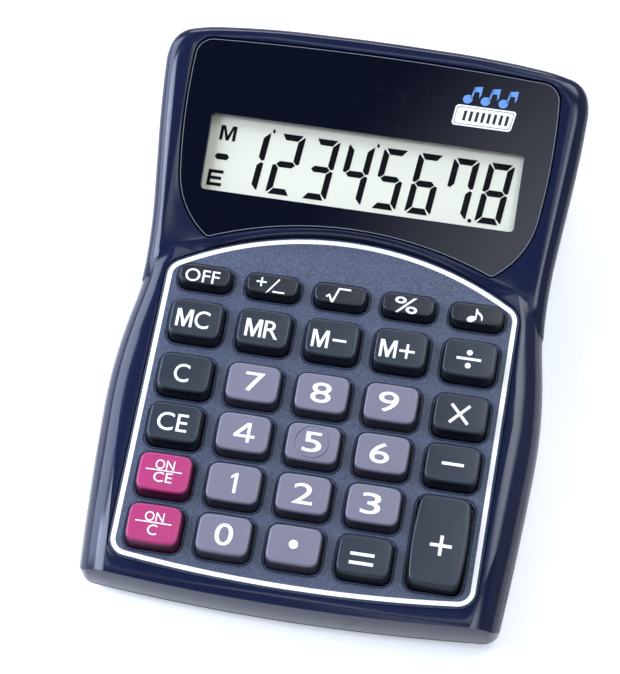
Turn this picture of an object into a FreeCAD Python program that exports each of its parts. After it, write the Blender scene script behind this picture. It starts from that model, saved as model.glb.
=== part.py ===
import FreeCAD, Part
import math
import os
import Sketcher

# Desk calculator with a sloping display head, in millimetres.
# Row frame: origin on the table under the middle of the case, +Z up, +X to the
# right of the person using it, +Y away from that person.
# Two tilted frames sit in it. The keypad frame has its origin on the keypad face
# at the middle of the 5 key. The display frame has its origin on the line where
# the display slope leaves the keypad slope. In both, local Z is the face normal.

V = FreeCAD.Vector
doc = FreeCAD.newDocument("calculator")

# Driving dimensions
SIZES = {
    # resting height and slopes
    "foot_height": 0.8,
    "parting_height": 4.0,
    "keypad_y": -32.4,
    "keypad_height": 16.4,
    "keypad_tilt": 4.0,
    "hinge_line": 49.0,
    "display_tilt": 20.0,
    # plan of the case, half widths at their own places along Y
    "front_half_width": 52.7,
    "bulge_half_width": 55.1,
    "waist_half_width": 52.4,
    "head_half_width": 54.7,
    "front_y": -74.2,
    "bulge_y": -22.4,
    "waist_y": 16.0,
    "head_y": 58.0,
    "back_y": 74.4,
    "front_bow": 2.6,
    "front_corner": 4.2,
    "side_draft": 7.0,
    "front_draft": 2.5,
    "wall_measured_below": 8.0,
    "keypad_edge_round": 7.0,
    "head_edge_round": 3.5,
    # walls and the joint of the two shells
    "wall": 2.0,
    "base_wall": 1.6,
    "base_inset": 2.6,
    "parting_groove": 0.3,
    "lip_height": 1.6,
    "lip_wall": 1.0,
    "slip": 0.15,
    # keypad plate and its seat
    "plate_thickness": 2.1,
    "plate_sink": 0.2,
    "plate_gap": 0.25,
    "plate_half_width": 46.1,
    "plate_top_half_width": 45.7,
    "plate_bottom": -37.7,
    "plate_bottom_bow": 2.9,
    "plate_arch_top": 57.5,
    "plate_arch_round": 85.0,
    "plate_corner": 5.0,
    "seat_wall": 1.5,
    "seat_rim": 1.2,
    "plate_seat": 1.0,
    "ridge_slope": 0.7,
    # key field
    "field_middle": 0.2,
    "column_pitch": 17.5,
    "row_pitch": 13.5,
    "memory_row_gap": 1.4,
    "top_row_gap": 12.5,
    "key_width": 13.6,
    "key_length": 11.2,
    "low_key_length": 6.5,
    "tall_key_width": 13.9,
    "tall_key_length": 24.2,
    "key_rise": 3.8,
    "low_key_rise": 3.0,
    "key_gap": 0.25,
    "key_corner": 2.2,
    "key_side_slope": 0.75,
    "flange_lap": 0.45,
    "flange_thickness": 0.9,
    "plunger": 4.6,
    "plunger_length": 1.9,
    "finger_ring_round": 4.3,
    "finger_ring_width": 0.45,
    "finger_ring_depth": 0.3,
    # rubber mat and circuit board
    "mat_thickness": 0.8,
    "mat_pad_height": 2.1,
    "mat_pad": 6.0,
    "mat_half_width": 42.2,
    "mat_front": -33.6,
    "mat_back": 46.2,
    "board_thickness": 1.2,
    "board_half_width": 48.0,
    "board_front": -34.2,
    "board_back": 52.0,
    "board_notch_width": 6.0,
    "board_notch_length": 5.0,
    # display
    "lens_half_width": 48.1,
    "lens_top": 56.6,
    "lens_top_bow": 1.4,
    "lens_foot": 3.2,
    "lens_foot_half_width": 37.2,
    "lens_arch": 7.2,
    "lens_wide_at": 40.0,
    "lens_side_round": 165.0,
    "lens_shoulder": 19.3,
    "lens_cheek_round": 22.5,
    "lens_corner": 5.0,
    "lens_foot_corner": 1.8,
    "lens_thickness": 1.5,
    "lens_sink": 0.3,
    "lens_gap": 0.2,
    "ledge_wall": 1.5,
    "window_width": 81.2,
    "window_length": 20.0,
    "window_middle": 25.9,
    "window_margin": 0.6,
    "glass_width": 86.0,
    "glass_length": 25.0,
    "glass_thickness": 0.7,
    "glass_contact_ledge": 2.8,
    "reflector_thickness": 0.3,
    "frame_bar": 2.6,
    "frame_gap": 0.2,
    "frame_backing": 1.2,
    "ribbon_width": 60.0,
    "ribbon_thickness": 0.2,
    # battery and its door
    "battery_round": 7.1,
    "battery_length": 49.2,
    "battery_nub_round": 2.7,
    "battery_nub": 1.3,
    "battery_y": 53.5,
    "battery_gap": 0.3,
    "bay_wall": 1.2,
    "bay_height": 9.6,
    "contact_thickness": 0.4,
    "contact_width": 9.0,
    "contact_height": 10.5,
    "contact_button_round": 2.6,
    "lead_round": 0.5,
    "lead_board_x": 36.0,
    "door_half_width": 26.0,
    "door_tongue": 1.5,
    "door_skin": 0.9,
    "door_gap": 0.2,
    "rail_height": 1.2,
    "rail_end_y": 68.0,
    "grip_y": 58.0,
    "grip_pitch": 2.0,
    "grip_count": 5.0,
    "grip_depth": 0.3,
    "grip_width": 1.0,
    "grip_half_length": 9.0,
    # buzzer, screws, feet
    "buzzer_round": 13.5,
    "buzzer_y": -8.0,
    "buzzer_thickness": 0.5,
    "buzzer_ring_height": 1.4,
    "buzzer_ring_wall": 1.2,
    "sound_hole_round": 1.0,
    "sound_hole_ring": 6.0,
    "sound_hole_count": 6.0,
    "buzzer_lead_round": 0.4,
    "buzzer_lead_x": 2.5,
    "screw_round": 1.1,
    "screw_head_round": 2.3,
    "screw_head": 1.5,
    "boss_round": 2.7,
    "boss_gap": 0.3,
    "column_wall": 1.1,
    "screw_clearance": 0.15,
    "case_screw_length": 6.4,
    "case_screw_front_x": 45.4,
    "case_screw_front_y": -65.6,
    "case_screw_back_x": 42.5,
    "case_screw_back_y": 61.0,
    "board_screw_x": 46.0,
    "board_screw_front": -24.0,
    "board_screw_middle": 10.0,
    "board_screw_back": 44.6,
    "board_screw_length": 3.4,
    "foot_round": 4.0,
    "foot_front_x": 37.0,
    "foot_front_y": -62.0,
    "foot_back_x": 34.0,
    "foot_back_y": 60.0,
    "foot_pocket": 0.5,
    "foot_gap": 0.1,
    # parts on the board
    "blob_round": 7.0,
    "blob_height": 1.6,
    "blob_x": -24.0,
    "blob_y": 8.0,
    "capacitor_round": 2.5,
    "capacitor_length": 9.0,
    "capacitor_x": 27.0,
    "capacitor_y": 36.0,
    "resistor_round": 0.9,
    "resistor_length": 4.0,
    "resistor_x": -30.0,
    "resistor_y": 32.0,
    "resistor_pitch": 4.0,
}

sheet = doc.addObject("Spreadsheet::Sheet", "sizes")
for row, (alias, value) in enumerate(SIZES.items(), 1):
    sheet.set("A%d" % row, alias)
    sheet.set("B%d" % row, str(value))
    sheet.setAlias("B%d" % row, alias)
doc.recompute()


def size(alias):
    return float(sheet.get(alias))


def frame(y, z, tilt):
    return FreeCAD.Placement(V(0, y, z), FreeCAD.Rotation(V(1, 0, 0), tilt))


KEYPAD = frame(size("keypad_y"), size("keypad_height"), size("keypad_tilt"))
hinge = KEYPAD.multVec(V(0, size("hinge_line"), 0))
DISPLAY = frame(hinge.y, hinge.z, size("display_tilt"))
WORLD = FreeCAD.Placement()
subparts = []

# Levels in the keypad frame, from the face down, as formulas of the sheet
PLATE_TOP = "-sizes.plate_sink"
PLATE_UNDER = PLATE_TOP + " - sizes.plate_thickness"
SEAT_UNDER = PLATE_UNDER + " - sizes.seat_wall"
FLANGE_UNDER = PLATE_UNDER + " - sizes.flange_thickness"
PLUNGER_END = FLANGE_UNDER + " - sizes.plunger_length"
MAT_SHEET_TOP = PLUNGER_END + " - sizes.mat_pad_height"
BOARD_TOP = MAT_SHEET_TOP + " - sizes.mat_thickness"
BOARD_UNDER = BOARD_TOP + " - sizes.board_thickness"

# Levels in the display frame, from the face down
LENS_TOP = "-sizes.lens_sink"
LEDGE_TOP = LENS_TOP + " - sizes.lens_thickness"
GLASS_TOP = LEDGE_TOP + " - sizes.ledge_wall"
GLASS_JOINT = GLASS_TOP + " - sizes.glass_thickness"
GLASS_UNDER = GLASS_JOINT + " - sizes.glass_thickness"
REFLECTOR_UNDER = GLASS_UNDER + " - sizes.reflector_thickness"

# Places along the display slope
GLASS_FRONT = "sizes.window_middle - sizes.glass_length / 2"
GLASS_BACK = "sizes.window_middle + sizes.glass_length / 2"
CONTACT_FRONT = GLASS_FRONT + " - sizes.glass_contact_ledge"


def value(formula):
    return float(sheet.evalExpression(formula))


# Heights above the table
floor_top = size("foot_height") + size("base_wall")
parting = size("parting_height")


def keep(obj, label, placement=WORLD):
    """Give a finished sub-part its name and its place."""
    obj.Label = label
    obj.Placement = placement
    subparts.append(obj)
    return obj


def feature(label, shape, placement=WORLD):
    obj = doc.addObject("Part::Feature", label)
    obj.Shape = shape
    return keep(obj, label, placement)


# Sketched pieces

def plane(body, role):
    return [f for f in body.Origin.OriginFeatures if f.Role == role][0]


def sketch_on(body, name, level="0", role="XY_Plane"):
    """An empty sketch on one of the body's own planes, lifted to a level given as a formula."""
    sketch = body.newObject("Sketcher::SketchObject", name)
    sketch.AttachmentSupport = [(plane(body, role), "")]
    sketch.MapMode = "FlatFace"
    sketch.setExpression("AttachmentOffset.Base.z", level)
    return sketch


def bind(sketch, kind, places, formula):
    """One driving dimension of a sketch, tied to the sheet."""
    index = sketch.addConstraint(Sketcher.Constraint(kind, *places, value(formula)))
    sketch.setExpression("Constraints[%d]" % index, formula)


def polygon(sketch, corners):
    """A closed outline of straight lines whose corners are pairs of formulas."""
    spots = [V(value(x), value(y), 0) for x, y in corners]
    first = sketch.GeometryCount
    count = len(spots)
    sketch.addGeometry([Part.LineSegment(spots[i], spots[(i + 1) % count]) for i in range(count)], False)
    sketch.addConstraint([Sketcher.Constraint("Coincident", first + i, 2, first + (i + 1) % count, 1)
                          for i in range(count)])
    for i, (x, y) in enumerate(corners):
        bind(sketch, "DistanceX", (-1, 1, first + i, 1), x)
        bind(sketch, "DistanceY", (-1, 1, first + i, 1), y)


def rectangle(sketch, half_width, front, back):
    left = "-(" + half_width + ")"
    polygon(sketch, [(left, front), (half_width, front), (half_width, back), (left, back)])


def circle(sketch, x, y, radius):
    index = sketch.addGeometry(Part.Circle(V(value(x), value(y), 0), V(0, 0, 1), value(radius)), False)
    bind(sketch, "DistanceX", (-1, 1, index, 3), x)
    bind(sketch, "DistanceY", (-1, 1, index, 3), y)
    bind(sketch, "Radius", (index,), radius)


def hexagon(x, y, radius):
    """Corner formulas of a six-sided hole."""
    return [("%s + %s * cos(%d deg)" % (x, radius, turn), "%s + %s * sin(%d deg)" % (y, radius, turn))
            for turn in range(0, 360, 60)]


def extrusion(body, kind, sketch, length, down=False, both_ways=False):
    """A pad or a pocket whose length is a formula."""
    step = body.newObject("PartDesign::" + kind, sketch.Name + "_" + kind.lower())
    step.Profile = sketch
    step.setExpression("Length", length)
    step.Reversed = down
    step.Midplane = both_ways
    return step


def slab(label, placement, half_width, front, back, top, thickness):
    """A flat rectangular piece, sketched at its upper face."""
    body = doc.addObject("PartDesign::Body", label)
    face = sketch_on(body, label + "_outline", top)
    rectangle(face, half_width, front, back)
    extrusion(body, "Pad", face, thickness, down=True)
    return keep(body, label, placement)


# Plain shapes

def local(shape, placement):
    """A shape drawn in a tilted frame, as it lies in the row frame."""
    moved = shape.copy()
    moved.Placement = placement.multiply(moved.Placement)
    return moved


def box(x0, x1, y0, y1, z0, z1):
    return Part.makeBox(x1 - x0, y1 - y0, z1 - z0, V(x0, y0, z0))


def post(x, y, z0, z1, radius):
    return Part.makeCylinder(radius, z1 - z0, V(x, y, z0))


def rod(x, y, z0, z1, radius, sides=12):
    """A many-sided post, for small round forms that repeat."""
    turns = [2 * math.pi * i / sides for i in range(sides + 1)]
    corners = [V(x + radius * math.cos(turn), y + radius * math.sin(turn), z0) for turn in turns]
    return Part.Face(Part.makePolygon(corners)).extrude(V(0, 0, z1 - z0))


def arc(a, b, c):
    return Part.Arc(a, b, c).toShape()


def line(a, b):
    return Part.makeLine(a, b)


def meeting(a, reach_a, b, reach_b):
    """The point at the given distances from two points, to the left of the way from a to b."""
    way = (b - a).normalize()
    gap = a.distanceToPoint(b)
    along = (gap ** 2 + reach_a ** 2 - reach_b ** 2) / (2 * gap)
    aside = math.sqrt(reach_a ** 2 - along ** 2)
    return a + way * along + V(-way.y, way.x, 0) * aside


def toward(centre, point, radius):
    """The point on a circle round the centre that lies towards another point."""
    return centre + (point - centre).normalize() * radius


def bend(centre, radius, start, end):
    """Arc of under half a turn round a centre."""
    middle = ((start - centre) + (end - centre)).normalize() * radius
    return arc(start, centre + middle, end)


def mirrored(point):
    return V(-point.x, point.y, point.z)


def prism(wire, z0, z1):
    face = Part.Face(wire)
    face.translate(V(0, 0, z0))
    return face.extrude(V(0, 0, z1 - z0))


def rounded_wire(edges, corners):
    """A flat closed outline with the corners that stand at the given points rounded."""
    solid = Part.Face(Part.Wire(edges)).extrude(V(0, 0, 1))
    for point, radius in corners:
        upright = [e for e in solid.Edges if len(e.Vertexes) == 2
                   and abs(abs(e.Vertexes[0].Z - e.Vertexes[1].Z) - 1) < 1e-6
                   and all(V(v.X, v.Y, 0).distanceToPoint(point) < 1e-3 for v in e.Vertexes)]
        solid = solid.makeFillet(radius, upright)
    flat = [f for f in solid.Faces if abs(f.CenterOfMass.z) < 1e-6]
    return flat[0].OuterWire


def tube(points, radius):
    """A thin six-sided lead whose bends are each cut by one short slanting run."""
    spots = [points[0]]
    for before, here, after in zip(points, points[1:], points[2:]):
        reach = min(2.5 * radius, 0.4 * before.distanceToPoint(here), 0.4 * here.distanceToPoint(after))
        spots.append(toward(here, before, reach))
        spots.append(toward(here, after, reach))
    spots.append(points[-1])
    way = (points[1] - points[0]).normalize()
    aside = way.cross(V(0.3, 0.2, 0.9)).normalize() * radius
    turn = FreeCAD.Rotation(way, 60)
    ring = [points[0] + aside]
    for i in range(6):
        aside = turn.multVec(aside)
        ring.append(points[0] + aside)
    mitred = 1
    return Part.Wire(Part.makePolygon(spots)).makePipeShell([Part.makePolygon(ring)], True, False, mitred)


# The case outline seen from above. It is drawn on a level, which is a horizontal
# plane or one parallel to a tilted face, given as the height above a place along Y.
# The sides lean in as they go down, so each station is moved by its own distance
# below the height where it was measured.

def at_height(z):
    return lambda y: z


def under_face(placement, depth):
    """The level at one depth, measured straight down, under a tilted face."""
    normal = placement.Rotation.multVec(V(0, 0, 1))
    fall = normal.y / normal.z
    return lambda y: placement.Base.z - fall * (y - placement.Base.y) - depth


def lean(reference_height, z, inset):
    return (z - reference_height) * math.tan(math.radians(size("side_draft"))) - inset


def half_outline(level, inset):
    """Control points of the right-hand side in plan, from in front of the case to the middle of its back."""
    rise = (size("back_y") - hinge.y) * math.tan(math.radians(size("display_tilt")))
    keypad_wall = size("keypad_height") - size("wall_measured_below")
    head_wall = hinge.z + 0.45 * rise
    waist_wall = 0.5 * (keypad_wall + head_wall)
    front_y = size("front_y")
    bulge_y = size("bulge_y")
    waist_y = size("waist_y")
    back_y = size("back_y") + lean(hinge.z + 0.85 * rise, level(size("back_y")), inset)

    # for each station: the half width that rules it, the height where that was
    # measured, the place along Y and how far the control point stands off
    stations = [
        ("front_half_width", keypad_wall, front_y - 18, -1.6),
        ("front_half_width", keypad_wall, front_y - 6, -0.5),
        ("front_half_width", keypad_wall, front_y + 18, 1.6),
        ("bulge_half_width", keypad_wall, bulge_y - 10, -0.3),
        ("bulge_half_width", keypad_wall, bulge_y + 14, 0.6),
        ("waist_half_width", waist_wall, waist_y, -1.2),
        ("head_half_width", head_wall, waist_y + 20, -0.5),
        ("head_half_width", head_wall, size("head_y") - 5, 0.1),
        ("head_half_width", head_wall, back_y - 15.2, 0.1),
        ("head_half_width", head_wall, back_y - 7.7, 0.1),
        ("head_half_width", head_wall, back_y - 2.8, -3.2),
        ("head_half_width", head_wall, back_y - 1.7, -10.7),
    ]
    points = []
    for half_width, reference_height, y, off in stations:
        points.append(V(size(half_width) + lean(reference_height, level(y), inset) + off, y, 0))
    wide_x = size("head_half_width") + lean(head_wall, level(back_y), inset)
    return points + [V(0.45 * wide_x, back_y, 0), V(0, back_y, 0)]


def arc_towards(start, corner, end):
    """The arc from start to end that sets out towards the corner."""
    way = (corner - start).normalize()
    aside = V(-way.y, way.x, 0)
    chord = end - start
    centre = start + aside * (chord.dot(chord) / (2 * chord.dot(aside)))
    return bend(centre, start.distanceToPoint(centre), start, end)


def arc_pair(start, way, end, end_way):
    """Two arcs that touch each other and both of the given directions."""
    chord = end - start
    a = 2 * (1 - way.dot(end_way))
    b = 2 * chord.dot(way + end_way)
    reach = (math.sqrt(b ** 2 + 4 * a * chord.dot(chord)) - b) / (2 * a)
    first = start + way * reach
    last = end - end_way * reach
    middle = (first + last) * 0.5
    return [arc_towards(start, first, middle), arc_towards(middle, last, end)]


def raised(edge, level):
    """A flat curve moved straight up onto a level."""
    curve = edge.Curve.toBSpline(edge.FirstParameter, edge.LastParameter)
    for i in range(1, curve.NbPoles + 1):
        pole = curve.getPole(i)
        curve.setPole(i, V(pole.x, pole.y, level(pole.y)))
    return curve.toShape()


# Where the arcs of one side meet, along its smooth curve
ARC_ENDS = [0, 0.2, 0.42, 0.62, 0.74, 0.9, 1]


def outline(level, inset):
    """Closed wire of arcs: right side, left side and a straight front beyond the real front."""
    smooth = Part.BSplineCurve()
    smooth.buildFromPoles(half_outline(level, inset), False, 3)
    spots = [smooth.value(u) for u in ARC_ENDS]
    ways = [V(*smooth.tangent(u)).normalize() for u in ARC_ENDS]
    right = []
    for i in range(len(ARC_ENDS) - 1):
        right += arc_pair(spots[i], ways[i], spots[i + 1], ways[i + 1])
    left = [e.mirror(V(0, 0, 0), V(1, 0, 0)) for e in reversed(right)]
    front = line(mirrored(spots[0]), spots[0])
    return Part.Wire([raised(edge, level) for edge in right + left + [front]])


def front_wire(z, inset):
    """What lies behind the bowed front wall with its two rounded corners, at one height."""
    y = size("front_y") + inset + (z - parting) * math.tan(math.radians(size("front_draft")))
    keypad_wall = size("keypad_height") - size("wall_measured_below")
    side_x = size("front_half_width") + 0.5 + lean(keypad_wall, z, inset)
    corner = size("front_corner")
    front_round = (side_x ** 2 + size("front_bow") ** 2) / (2 * size("front_bow"))
    centre = V(0, y + front_round, z)
    reach = math.sqrt((front_round - corner) ** 2 - (side_x - corner) ** 2)
    spot = V(side_x - corner, centre.y - reach, z)
    on_front = toward(centre, spot, front_round)
    on_side = V(side_x, spot.y, z)
    flank = [V(side_x + 22, spot.y + 60, z), V(side_x + 22, size("back_y") + 35, z)]
    edges = [
        arc(mirrored(on_front), V(0, y, z), on_front),
        bend(spot, corner, on_front, on_side),
        line(on_side, flank[0]),
        line(flank[0], flank[1]),
        line(flank[1], mirrored(flank[1])),
        line(mirrored(flank[1]), mirrored(flank[0])),
        line(mirrored(flank[0]), mirrored(on_side)),
        bend(mirrored(spot), corner, mirrored(on_side), mirrored(on_front)),
    ]
    return Part.Wire(edges)


def leaning_block(z0, inset0, z1, inset1):
    """The case outline between two heights, and what lies behind the front wall there."""
    sides = Part.makeLoft([outline(at_height(z0), inset0), outline(at_height(z1), inset1)], True, True)
    front = Part.makeLoft([front_wire(z0, inset0), front_wire(z1, inset1)], True, True)
    return sides, front


# A round between a tilted face and the leaning wall is made of this many narrow strips
STRIPS = 5
DEEP = 60.0


def crown(placement, radius):
    """A deep block under a tilted face, with that face's long edges rounded.

    Seen across the edge, the round touches the face and the wall. Its last strip
    runs on outwards, so it crosses the wall at a clear angle.
    """
    draft = math.radians(size("side_draft"))
    middle = -radius * (1 + math.sin(draft)) / math.cos(draft)
    turn = (math.pi / 2 + draft) / STRIPS
    steps = []
    for i in range(STRIPS + 1):
        steps.append((middle + radius * math.sin(i * turn), radius - radius * math.cos(i * turn)))
    (out1, depth1), (out2, depth2) = steps[-2:]
    steps.append((out2 + (out2 - out1) * (DEEP - depth2) / (depth2 - depth1), DEEP))
    wires = [outline(under_face(placement, depth), -depth * math.tan(draft) - out) for out, depth in steps]
    return Part.makeLoft(wires, True, True)


def outer_body():
    """The keypad wedge and the display head in one, above the parting line."""
    sides, front = leaning_block(parting, 0.0, 60.0, 0.0)
    near = box(-90, 90, -160, size("waist_y") + 18, 0, 90)
    far = box(-90, 90, hinge.y - 8, 160, 0, 90)
    wedge = sides.common(near).common(crown(KEYPAD, size("keypad_edge_round")))
    head = sides.common(far).common(crown(DISPLAY, size("head_edge_round")))
    return wedge.fuse(head).common(front)


def room_inside():
    """The hollow of the upper case, under the plate seat and under the lens ledge."""
    low = KEYPAD.multVec(V(0, -110, value(SEAT_UNDER)))
    high = DISPLAY.multVec(V(0, 110, value(GLASS_TOP)))
    slope_k = math.tan(math.radians(size("keypad_tilt")))
    slope_d = math.tan(math.radians(size("display_tilt")))
    bend_y = (high.z - low.z + slope_k * low.y - slope_d * high.y) / (slope_k - slope_d)
    bend = V(0, bend_y, low.z + slope_k * (bend_y - low.y))
    roof = [(low.y, low.z), (bend.y, bend.z), (high.y, high.z), (high.y, -20), (low.y, -20), (low.y, low.z)]
    profile = Part.makePolygon([V(-90, y, z) for y, z in roof])
    sides, front = leaning_block(parting - 1, size("wall"), 60.0, size("wall"))
    return sides.common(front).common(Part.Face(profile).extrude(V(180, 0, 0)))


def plate_wire(grow):
    """The keypad plate's outline in the keypad frame, or a parallel one further out."""
    half = size("plate_half_width") + grow
    half_top = size("plate_top_half_width") + grow
    bottom = size("plate_bottom") - grow
    arch_round = size("plate_arch_round") + grow
    arch_middle = size("plate_arch_top") - size("plate_arch_round")
    shoulder_y = arch_middle + math.sqrt(arch_round ** 2 - half_top ** 2)
    low = V(half, bottom + size("plate_bottom_bow"), 0)
    high = V(half_top, shoulder_y, 0)
    low_left = V(-low.x, low.y, 0)
    high_left = V(-high.x, high.y, 0)
    edges = [arc(low_left, V(0, bottom, 0), low), line(low, high),
             arc(high, V(0, arch_middle + arch_round, 0), high_left), line(high_left, low_left)]
    corner = size("plate_corner") + grow
    return rounded_wire(edges, [(p, corner) for p in (low, high, high_left, low_left)])


def lens_wire(grow):
    """The display lens's outline in the display frame, or a parallel one further out."""
    wide = size("lens_half_width")
    top = size("lens_top")
    arch = size("lens_arch")
    foot_x = size("lens_foot_half_width")
    side_round = size("lens_side_round")
    cheek_round = size("lens_cheek_round")
    top_round = (wide ** 2 + size("lens_top_bow") ** 2) / (2 * size("lens_top_bow"))
    arch_round = (foot_x ** 2 + arch ** 2) / (2 * arch)

    # middles of the arcs: the long side, the cheek below it, the top and the hollow lower edge
    side = V(wide - side_round, size("lens_wide_at"), 0)
    drop = size("lens_wide_at") - size("lens_shoulder")
    shoulder = side + V(math.sqrt(side_round ** 2 - drop ** 2), -drop, 0)
    cheek = toward(shoulder, side, cheek_round)
    crown = V(0, top - top_round, 0)
    hollow = V(0, size("lens_foot") + arch - arch_round, 0)
    corner = size("lens_corner")
    foot_corner = size("lens_foot_corner")
    corner_spot = meeting(crown, top_round - corner, side, side_round - corner)
    if corner_spot.x < 0:
        corner_spot = meeting(side, side_round - corner, crown, top_round - corner)
    foot_spot = meeting(hollow, arch_round + foot_corner, cheek, cheek_round - foot_corner)
    if foot_spot.x < cheek.x:
        foot_spot = meeting(cheek, cheek_round - foot_corner, hollow, arch_round + foot_corner)

    on_top = toward(crown, corner_spot, top_round + grow)
    on_side = toward(side, corner_spot, side_round + grow)
    on_shoulder = toward(side, shoulder, side_round + grow)
    on_cheek = toward(cheek, foot_spot, cheek_round + grow)
    on_hollow = toward(hollow, foot_spot, arch_round - grow)
    edges = [
        bend(corner_spot, corner + grow, on_top, on_side),
        bend(side, side_round + grow, on_side, on_shoulder),
        bend(cheek, cheek_round + grow, on_shoulder, on_cheek),
        bend(foot_spot, foot_corner + grow, on_cheek, on_hollow),
    ]
    left = [e.mirror(V(0, 0, 0), V(1, 0, 0)) for e in edges]
    across_top = bend(crown, top_round + grow, mirrored(on_top), on_top)
    across_foot = bend(hollow, arch_round - grow, on_hollow, mirrored(on_hollow))
    return Part.Wire(Part.__sortEdges__(edges + left + [across_top, across_foot]))


def key_corners(width, length, grow="0"):
    """Corner formulas of a key's outline, or of a parallel one further out.

    Each of its four corners is eased by three short flats.
    """
    half_width = "(%s / 2 + %s)" % (width, grow)
    half_length = "(%s / 2 + %s)" % (length, grow)
    corner = "(sizes.key_corner + %s)" % grow
    quarter = []
    for degrees in (0, 30, 60, 90):
        x = "%s - %s * (1 - cos(%d deg))" % (half_width, corner, degrees)
        y = "%s - %s * (1 - sin(%d deg))" % (half_length, corner, degrees)
        quarter.append((x, y))
    left = [("-(%s)" % x, y) for x, y in reversed(quarter)]
    back = quarter + left
    return back + [(x, "-(%s)" % y) for x, y in reversed(back)]


# The key field: rows from the display down, columns from the left
KEY_ROWS = [
    ["key_off", "key_sign", "key_root", "key_percent", "key_note"],
    ["key_memory_clear", "key_memory_recall", "key_memory_minus", "key_memory_plus", "key_divide"],
    ["key_clear", "key_7", "key_8", "key_9", "key_multiply"],
    ["key_clear_entry", "key_4", "key_5", "key_6", "key_minus"],
    ["key_on_clear_entry", "key_1", "key_2", "key_3"],
    ["key_on_clear", "key_0", "key_point", "key_equals"],
]
HOME_ROW = 3
HOME_COLUMN = 2


def key_layout():
    """Every key with its middle in the keypad frame and the names of its sizes."""
    found = []
    for row, names in enumerate(KEY_ROWS):
        y = (HOME_ROW - row) * size("row_pitch") + size("field_middle")
        if row < 2:
            y += size("memory_row_gap")
        if row < 1:
            y += size("top_row_gap") - size("row_pitch")
        for column, name in enumerate(names):
            x = (column - HOME_COLUMN) * size("column_pitch")
            if row == 0:
                found.append((name, x, y, "key_width", "low_key_length", "low_key_rise"))
            else:
                found.append((name, x, y, "key_width", "key_length", "key_rise"))
    tall_y = (HOME_ROW - 4.5) * size("row_pitch") + size("field_middle")
    tall_x = 2 * size("column_pitch")
    found.append(("key_plus", tall_x, tall_y, "tall_key_width", "tall_key_length", "key_rise"))
    return found


LAYOUT = key_layout()
# Screw places: the case screws in the row frame, the board screws in the keypad frame
CASE_SCREWS = []
BOARD_SCREWS = []
FEET = []
for side in (-1, 1):
    CASE_SCREWS.append((side * size("case_screw_front_x"), size("case_screw_front_y")))
    CASE_SCREWS.append((side * size("case_screw_back_x"), size("case_screw_back_y")))
    FEET.append((side * size("foot_front_x"), size("foot_front_y")))
    FEET.append((side * size("foot_back_x"), size("foot_back_y")))
    for place in ("board_screw_front", "board_screw_middle", "board_screw_back"):
        BOARD_SCREWS.append((side * size("board_screw_x"), size(place)))

FOOT_SIDES = 24
screw_seat = size("foot_height") + size("screw_head") + size("screw_clearance")
screw_tip = screw_seat + size("case_screw_length")


# Upper case

def make_top_case():
    outer = outer_body()
    room = room_inside()
    shell = outer.cut(room)
    seat = local(prism(plate_wire(size("seat_rim")), value(SEAT_UNDER), 1.5), KEYPAD).common(outer)
    shell = shell.fuse(seat)

    # recess for the plate, widening towards the lens where it cuts into the display slope
    under = value(PLATE_UNDER)
    gap = size("plate_gap")
    recess = prism(plate_wire(gap), under, 0.0)
    flare = Part.makeLoft([local(plate_wire(gap), frame(0, -0.3, 0)),
                           local(plate_wire(gap + size("ridge_slope")), frame(0, 3.0, 0))], True, True)
    opening = prism(plate_wire(-size("plate_seat")), value(BOARD_TOP), under + 0.1)

    # recess for the lens and the window under it
    lens_room = prism(lens_wire(size("lens_gap")), value(LEDGE_TOP), 6.0)
    half = size("window_width") / 2 + size("window_margin")
    reach = size("window_length") / 2 + size("window_margin")
    middle = size("window_middle")
    window = box(-half, half, middle - reach, middle + reach, value(GLASS_TOP) - 1, value(LEDGE_TOP) + 0.1)
    cutters = [local(cutter, KEYPAD) for cutter in (recess, flare, opening)]
    cutters += [local(cutter, DISPLAY) for cutter in (lens_room, window)]
    shell = shell.cut(cutters)

    # screw bosses
    radius = size("boss_round")
    bosses = [local(rod(x, y, value(BOARD_TOP), value(SEAT_UNDER), radius), KEYPAD) for x, y in BOARD_SCREWS]
    bosses += [rod(x, y, parting, 60, radius).common(room) for x, y in CASE_SCREWS]
    shell = shell.fuse(bosses)
    radius = size("screw_round")
    tip = value(BOARD_UNDER) + size("board_screw_length")
    holes = [local(rod(x, y, value(BOARD_TOP) - 1, tip, radius), KEYPAD) for x, y in BOARD_SCREWS]
    holes += [rod(x, y, parting - 1, screw_tip, radius) for x, y in CASE_SCREWS]
    return feature("top_case", shell.cut(holes))


# Lower case

bay_end = size("door_half_width") + size("bay_wall")
bay_out = size("door_half_width") + size("door_tongue") + size("door_gap") + size("bay_wall")
bay_front = size("battery_y") - size("battery_round") - size("battery_gap")
bay_back = size("battery_y") + size("battery_round") + size("battery_gap")
bay_top = floor_top + size("bay_height")
rail_under = floor_top + size("slip")
tongue_under = size("foot_height") + size("door_skin")
BACK = 120.0


def lower_outer():
    sides, front = leaning_block(size("foot_height"), size("base_inset"), parting, size("parting_groove"))
    return sides.common(front)


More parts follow.
